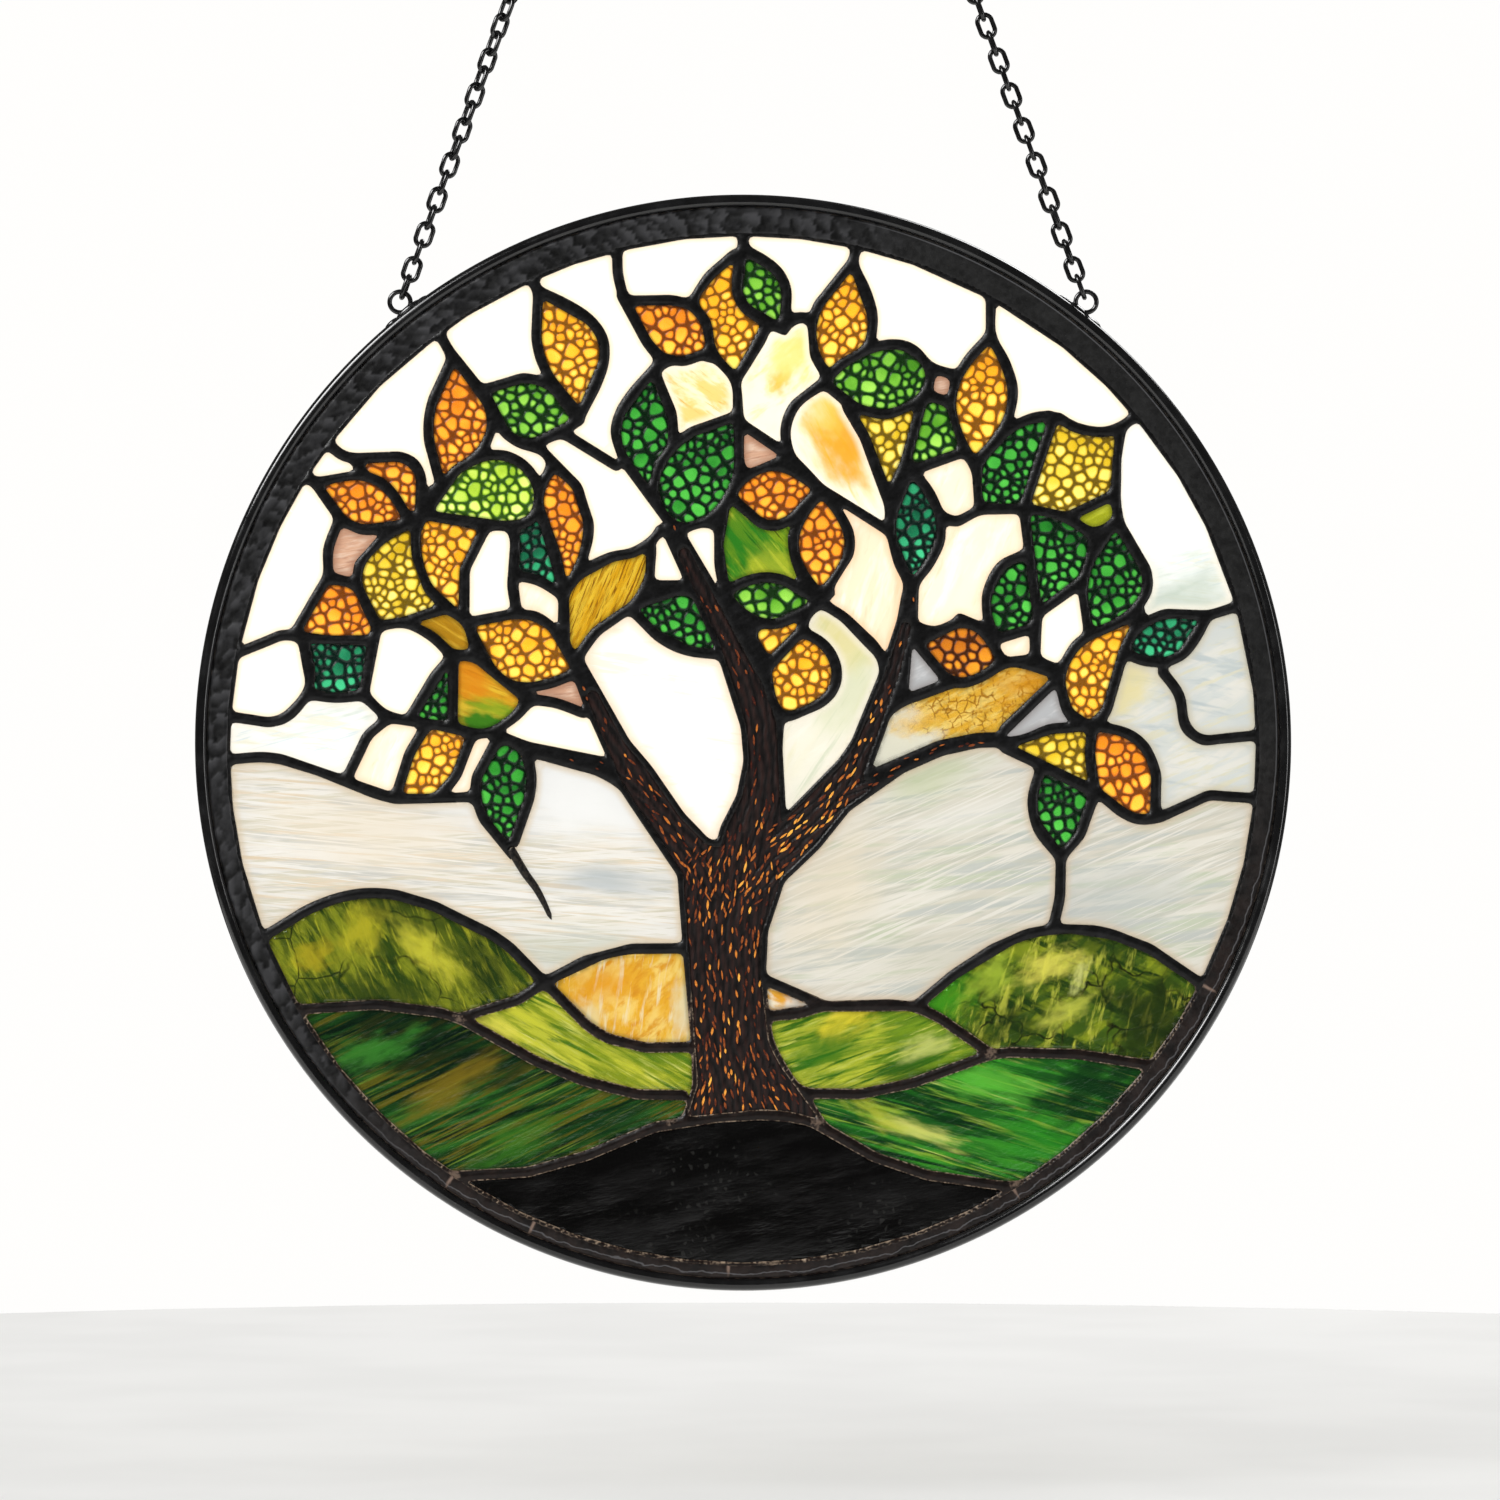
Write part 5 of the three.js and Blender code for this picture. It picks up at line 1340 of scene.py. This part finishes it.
outer_gap = BORDER_OUTER - np.hypot(GRID_X, GRID_Z)
inner_gap = np.hypot(GRID_X, GRID_Z + BORDER_DROP) - BORDER_INNER + BORDER_LAP
band = np.minimum(outer_gap, inner_gap)
SCALE_SIZE = 3.6
SCALE_ROWS = 5
SCALE_ROW_WIDTH = 2.7
SCALE_RISE = 0.42
SCALE_MARGIN = 0.6               # over which the scales fade out at the border's edges
BORDER_FRONT = 1.75
BORDER_ROUND = 0.3
BORDER_BEND = 0.9                # how far in from its edges the border is rounded


def round_from_top(points):
    """Degrees clockwise from the top of the panel."""
    return np.degrees(np.arctan2(points[:, 0], points[:, 1])) % 360


def smooth_side(points):
    """One round the right and the bottom of the border, where it is plain, and nothing where it
    is hammered."""
    turn = round_from_top(points)
    return np.clip((turn - 10) / 12, 0, 1) * np.clip((232 - turn) / 20, 0, 1)


def brown_side(points):
    """One round the lower right of the border, where its patina is brown."""
    turn = round_from_top(points)
    return np.clip((turn - 88) / 26, 0, 1) * np.clip((232 - turn) / 20, 0, 1)


def facets(points):
    """Heights of hammered scales: slanted patches of uneven size, each tilted its own way."""
    made = np.random.default_rng(SEED + 9)
    turn = np.arctan2(points[:, 0], points[:, 1]) / (2 * math.pi) % 1
    reach = np.hypot(points[:, 0], points[:, 1])
    count = int(2 * math.pi * BORDER_INNER / SCALE_SIZE)
    shift = made.uniform(-0.4, 0.4, (2, SCALE_ROWS, count))
    tilt = made.uniform(-1, 1, (3, SCALE_ROWS, count))
    across = (reach - BORDER_INNER) / SCALE_ROW_WIDTH + 1
    along = turn * count + 0.4 * across
    nearest = np.full(len(points), np.inf)
    heights = np.zeros(len(points))
    for row_step in (-1, 0, 1):
        row = np.clip(np.floor(across).astype(int) + row_step, 0, SCALE_ROWS - 1)
        for column_step in (-1, 0, 1):
            column = np.floor(along).astype(int) + column_step
            kept = column % count
            u = along - column - 0.5 - shift[0, row, kept]
            v = across - row - 0.5 - shift[1, row, kept]
            gap = u * u + v * v
            plane = (0.5 + 0.22 * tilt[2, row, kept] + (0.45 + 0.4 * tilt[0, row, kept]) * u
                     + 0.45 * tilt[1, row, kept] * v)
            heights = np.where(gap < nearest, plane, heights)
            nearest = np.minimum(gap, nearest)
    return np.clip(heights, 0, 1)


def border_front(points):
    """How far the border stands out on either side of the middle plane."""
    inset = sampled(band, points)
    round_off = np.sqrt(1 - (1 - np.clip(inset / BORDER_BEND, 0, 1)) ** 2)
    rough = (1 - smooth_side(points)) * SCALE_RISE * facets(points)
    return BORDER_FRONT + BORDER_ROUND * round_off + rough * np.clip(inset / SCALE_MARGIN, 0, 1)


border = slab("hammered_border", band, lambda p: -border_front(p), border_front, MEDIUM, {
    "facet": facets, "smooth": smooth_side, "brown": brown_side,
    "edge_in": lambda p: sampled(inner_gap, p),
    "edge_out": lambda p: sampled(outer_gap, p)})
border.data.materials.append(border_material())
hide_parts("border_came")

black = metal_material()
turns = [2 * math.pi * n / 360 for n in range(360)]
middle = FRAME_RADIUS - FRAME_TUBE / 2
ring = swept([(middle * math.cos(t), middle * math.sin(t)) for t in turns], turns,
             oval(FRAME_TUBE / 2, FRAME_HALF, 32, 2.5))
eye_at = {}
parts = [ring]
for side, sign in (("left", -1), ("right", 1)):
    a = math.radians(EYE_ANGLE) * sign
    reach = FRAME_RADIUS + EYE_RADIUS
    eye_at[side] = (reach * math.sin(a), reach * math.cos(a))
    parts.append(torus(eye_at[side], EYE_RADIUS, WIRE_RADIUS, 44, 14))
hoop = mesh_piece("round_ring", *merged(parts))
hoop.data.materials.append(black)
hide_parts("round_frame")


def blob(x, z, angle, long, wide, deep, phase):
    """A lump of solder along the ring."""
    vertices = []
    around, rows = 20, 10
    for i in range(rows + 1):
        lat = math.pi * i / rows
        for j in range(around):
            lon = 2 * math.pi * j / around
            lump = 1 + 0.1 * math.sin(3 * lon + phase) * math.sin(lat)
            u = long * math.cos(lat)
            v = wide * math.sin(lat) * math.cos(lon) * lump
            y = deep * math.sin(lat) * math.sin(lon) * lump
            vertices.append((x + u * math.cos(angle) - v * math.sin(angle), y,
                             z + u * math.sin(angle) + v * math.cos(angle)))
    return vertices, grid_faces(rows + 1, around, closed=False)


lumps = []
for side, sign in (("left", -1), ("right", 1)):
    for turn_off, long, wide in ((-0.3, 4.6, 1.5), (2.0, 2.6, 1.1), (-1.9, 2.2, 1.0)):
        a = math.radians((EYE_ANGLE + turn_off) * sign)
        reach = FRAME_RADIUS - 0.5
        lumps.append(blob(reach * math.sin(a), reach * math.cos(a), -a, long, wide, 1.9,
                          3 * turn_off + sign))
solder = mesh_piece("eye_solder", *merged(lumps))
solder.data.materials.append(black)

hanger = mesh_piece("top_ring", *torus((0, HANG_HEIGHT), HANG_RADIUS, HANG_WIRE, 80, 18))
hanger.data.materials.append(black)
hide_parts("hanging_ring")


def link(pitch):
    """One oval chain link, lying along x and wide in z, that hooks its neighbours a pitch away."""
    end = (pitch + 2 * WIRE_RADIUS) / 2
    half_width = LINK_WIDTH / 2 - WIRE_RADIUS - 0.35
    straight = end - half_width
    around, sides = 30, 10
    vertices = []
    for n in range(around):
        a = 2 * math.pi * (n + 0.5) / around
        x = half_width * math.cos(a) + math.copysign(straight, math.cos(a))
        z = half_width * math.sin(a)
        for j in range(sides):
            b = 2 * math.pi * j / sides
            vertices.append((x + WIRE_RADIUS * math.cos(b) * math.cos(a),
                             WIRE_RADIUS * math.sin(b),
                             z + WIRE_RADIUS * math.cos(b) * math.sin(a)))
    return np.array(vertices), grid_faces(around, sides)


def chain(side):
    """The links from one eye up to the hanging ring, each rolled a little its own way."""
    start = np.array(eye_at[side])
    run = np.array([0, HANG_HEIGHT]) - start
    length = float(np.linalg.norm(run))
    pitch = (length - EYE_ROOM - RING_ROOM) / LINK_COUNT
    way = run / length
    shape, faces = link(pitch)
    made = np.random.default_rng(SEED + len(side))
    parts = []
    for n in range(LINK_COUNT):
        roll = math.pi / 2 if n % 2 == 0 else 0
        roll += CHAIN_TWIST[side] * math.sin(math.pi * n / (LINK_COUNT - 1))
        roll += made.normal(0, 0.06)
        y = shape[:, 1] * math.cos(roll) - shape[:, 2] * math.sin(roll)
        z = shape[:, 1] * math.sin(roll) + shape[:, 2] * math.cos(roll)
        centre = start + way * (EYE_ROOM + pitch * (n + 0.5))
        placed = np.stack([centre[0] + shape[:, 0] * way[0] - z * way[1], y,
                           centre[1] + shape[:, 0] * way[1] + z * way[0]], axis=1)
        parts.append((placed.tolist(), faces))
    piece = mesh_piece(side + "_links", *merged(parts))
    piece.data.materials.append(black)
    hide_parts(side + "_chain")


chain("left")
chain("right")


# ---- Floor and light -----------------------------------------------------------------------

FLOOR_DROP = 60 * MM
FLOOR_RADIUS = 0.75
FLOOR_SIDES = 64
floor_height = -PANEL_DROP * MM - FRAME_RADIUS * MM - FLOOR_DROP
turns = [2 * math.pi * n / FLOOR_SIDES for n in range(FLOOR_SIDES)]
floor_mesh = bpy.data.meshes.new("floor")
floor_mesh.from_pydata(
    [(FLOOR_RADIUS * math.cos(t), FLOOR_RADIUS * math.sin(t), floor_height) for t in turns],
    [], [list(range(FLOOR_SIDES))])
floor = bpy.data.objects.new("floor", floor_mesh)
bpy.context.scene.collection.objects.link(floor)
paint = Paint("pale_floor")
cloud = paint.noise(paint.place(long=90, short=90), detail=2)
floor_mesh.materials.append(paint.finish(
    paint.ramp(cloud, [(0.3, (0.84, 0.84, 0.83)), (0.7, (0.88, 0.88, 0.87))]), rough=0.7))

# The world is what lies behind the glass, so it is bright seen directly and through glass, and
# softer where it lights or is mirrored by the metal.
WORLD_IN_GLOSS = 0.07
WORLD_ON_MATT = 0.85
world = bpy.data.worlds.new("studio")
world.use_nodes = True
tree = world.node_tree
path = tree.nodes.new("ShaderNodeLightPath")
back = tree.nodes["Background"]
back.inputs[0].default_value = (1.0, 0.993, 0.98, 1)
level = tree.nodes.new("ShaderNodeMix")
level.data_type = "FLOAT"
level.inputs[2].default_value = 1.0
level.inputs[3].default_value = WORLD_IN_GLOSS
dim = tree.nodes.new("ShaderNodeMix")
dim.data_type = "FLOAT"
dim.inputs[3].default_value = WORLD_ON_MATT
tree.links.new(path.outputs["Is Glossy Ray"], level.inputs[0])
tree.links.new(path.outputs["Is Diffuse Ray"], dim.inputs[0])
tree.links.new(level.outputs[0], dim.inputs[2])
tree.links.new(dim.outputs[0], back.inputs[1])
bpy.context.scene.world = world


def softbox(name, place, size, power, aim, gleam=False):
    """A soft rectangular light. A gleam only shows as a highlight on gloss."""
    data = bpy.data.lights.new(name, "AREA")
    data.shape = "RECTANGLE"
    data.size, data.size_y = size
    data.energy = power
    lamp = bpy.data.objects.new(name, data)
    lamp.location = place
    lamp.rotation_euler = (Vector(aim) - Vector(place)).to_track_quat("-Z", "Y").to_euler()
    lamp.visible_diffuse = not gleam
    lamp.visible_transmission = not gleam
    bpy.context.scene.collection.objects.link(lamp)


panel_middle = (0, 0, -PANEL_DROP * MM)
softbox("key", (-1.1, -1.5, 0.7), (0.7, 0.7), 9, panel_middle)
softbox("side", (1.5, -0.9, -0.5), (0.3, 1.2), 6, panel_middle)
softbox("rear", (0.8, 1.6, 0.9), (0.8, 0.8), 10, panel_middle)
softbox("gleam", (-1.5, -0.9, 0.9), (0.9, 0.9), 42, panel_middle, gleam=True)

bpy.context.scene.view_settings.view_transform = "Standard"

bpy.context.view_layer.update()
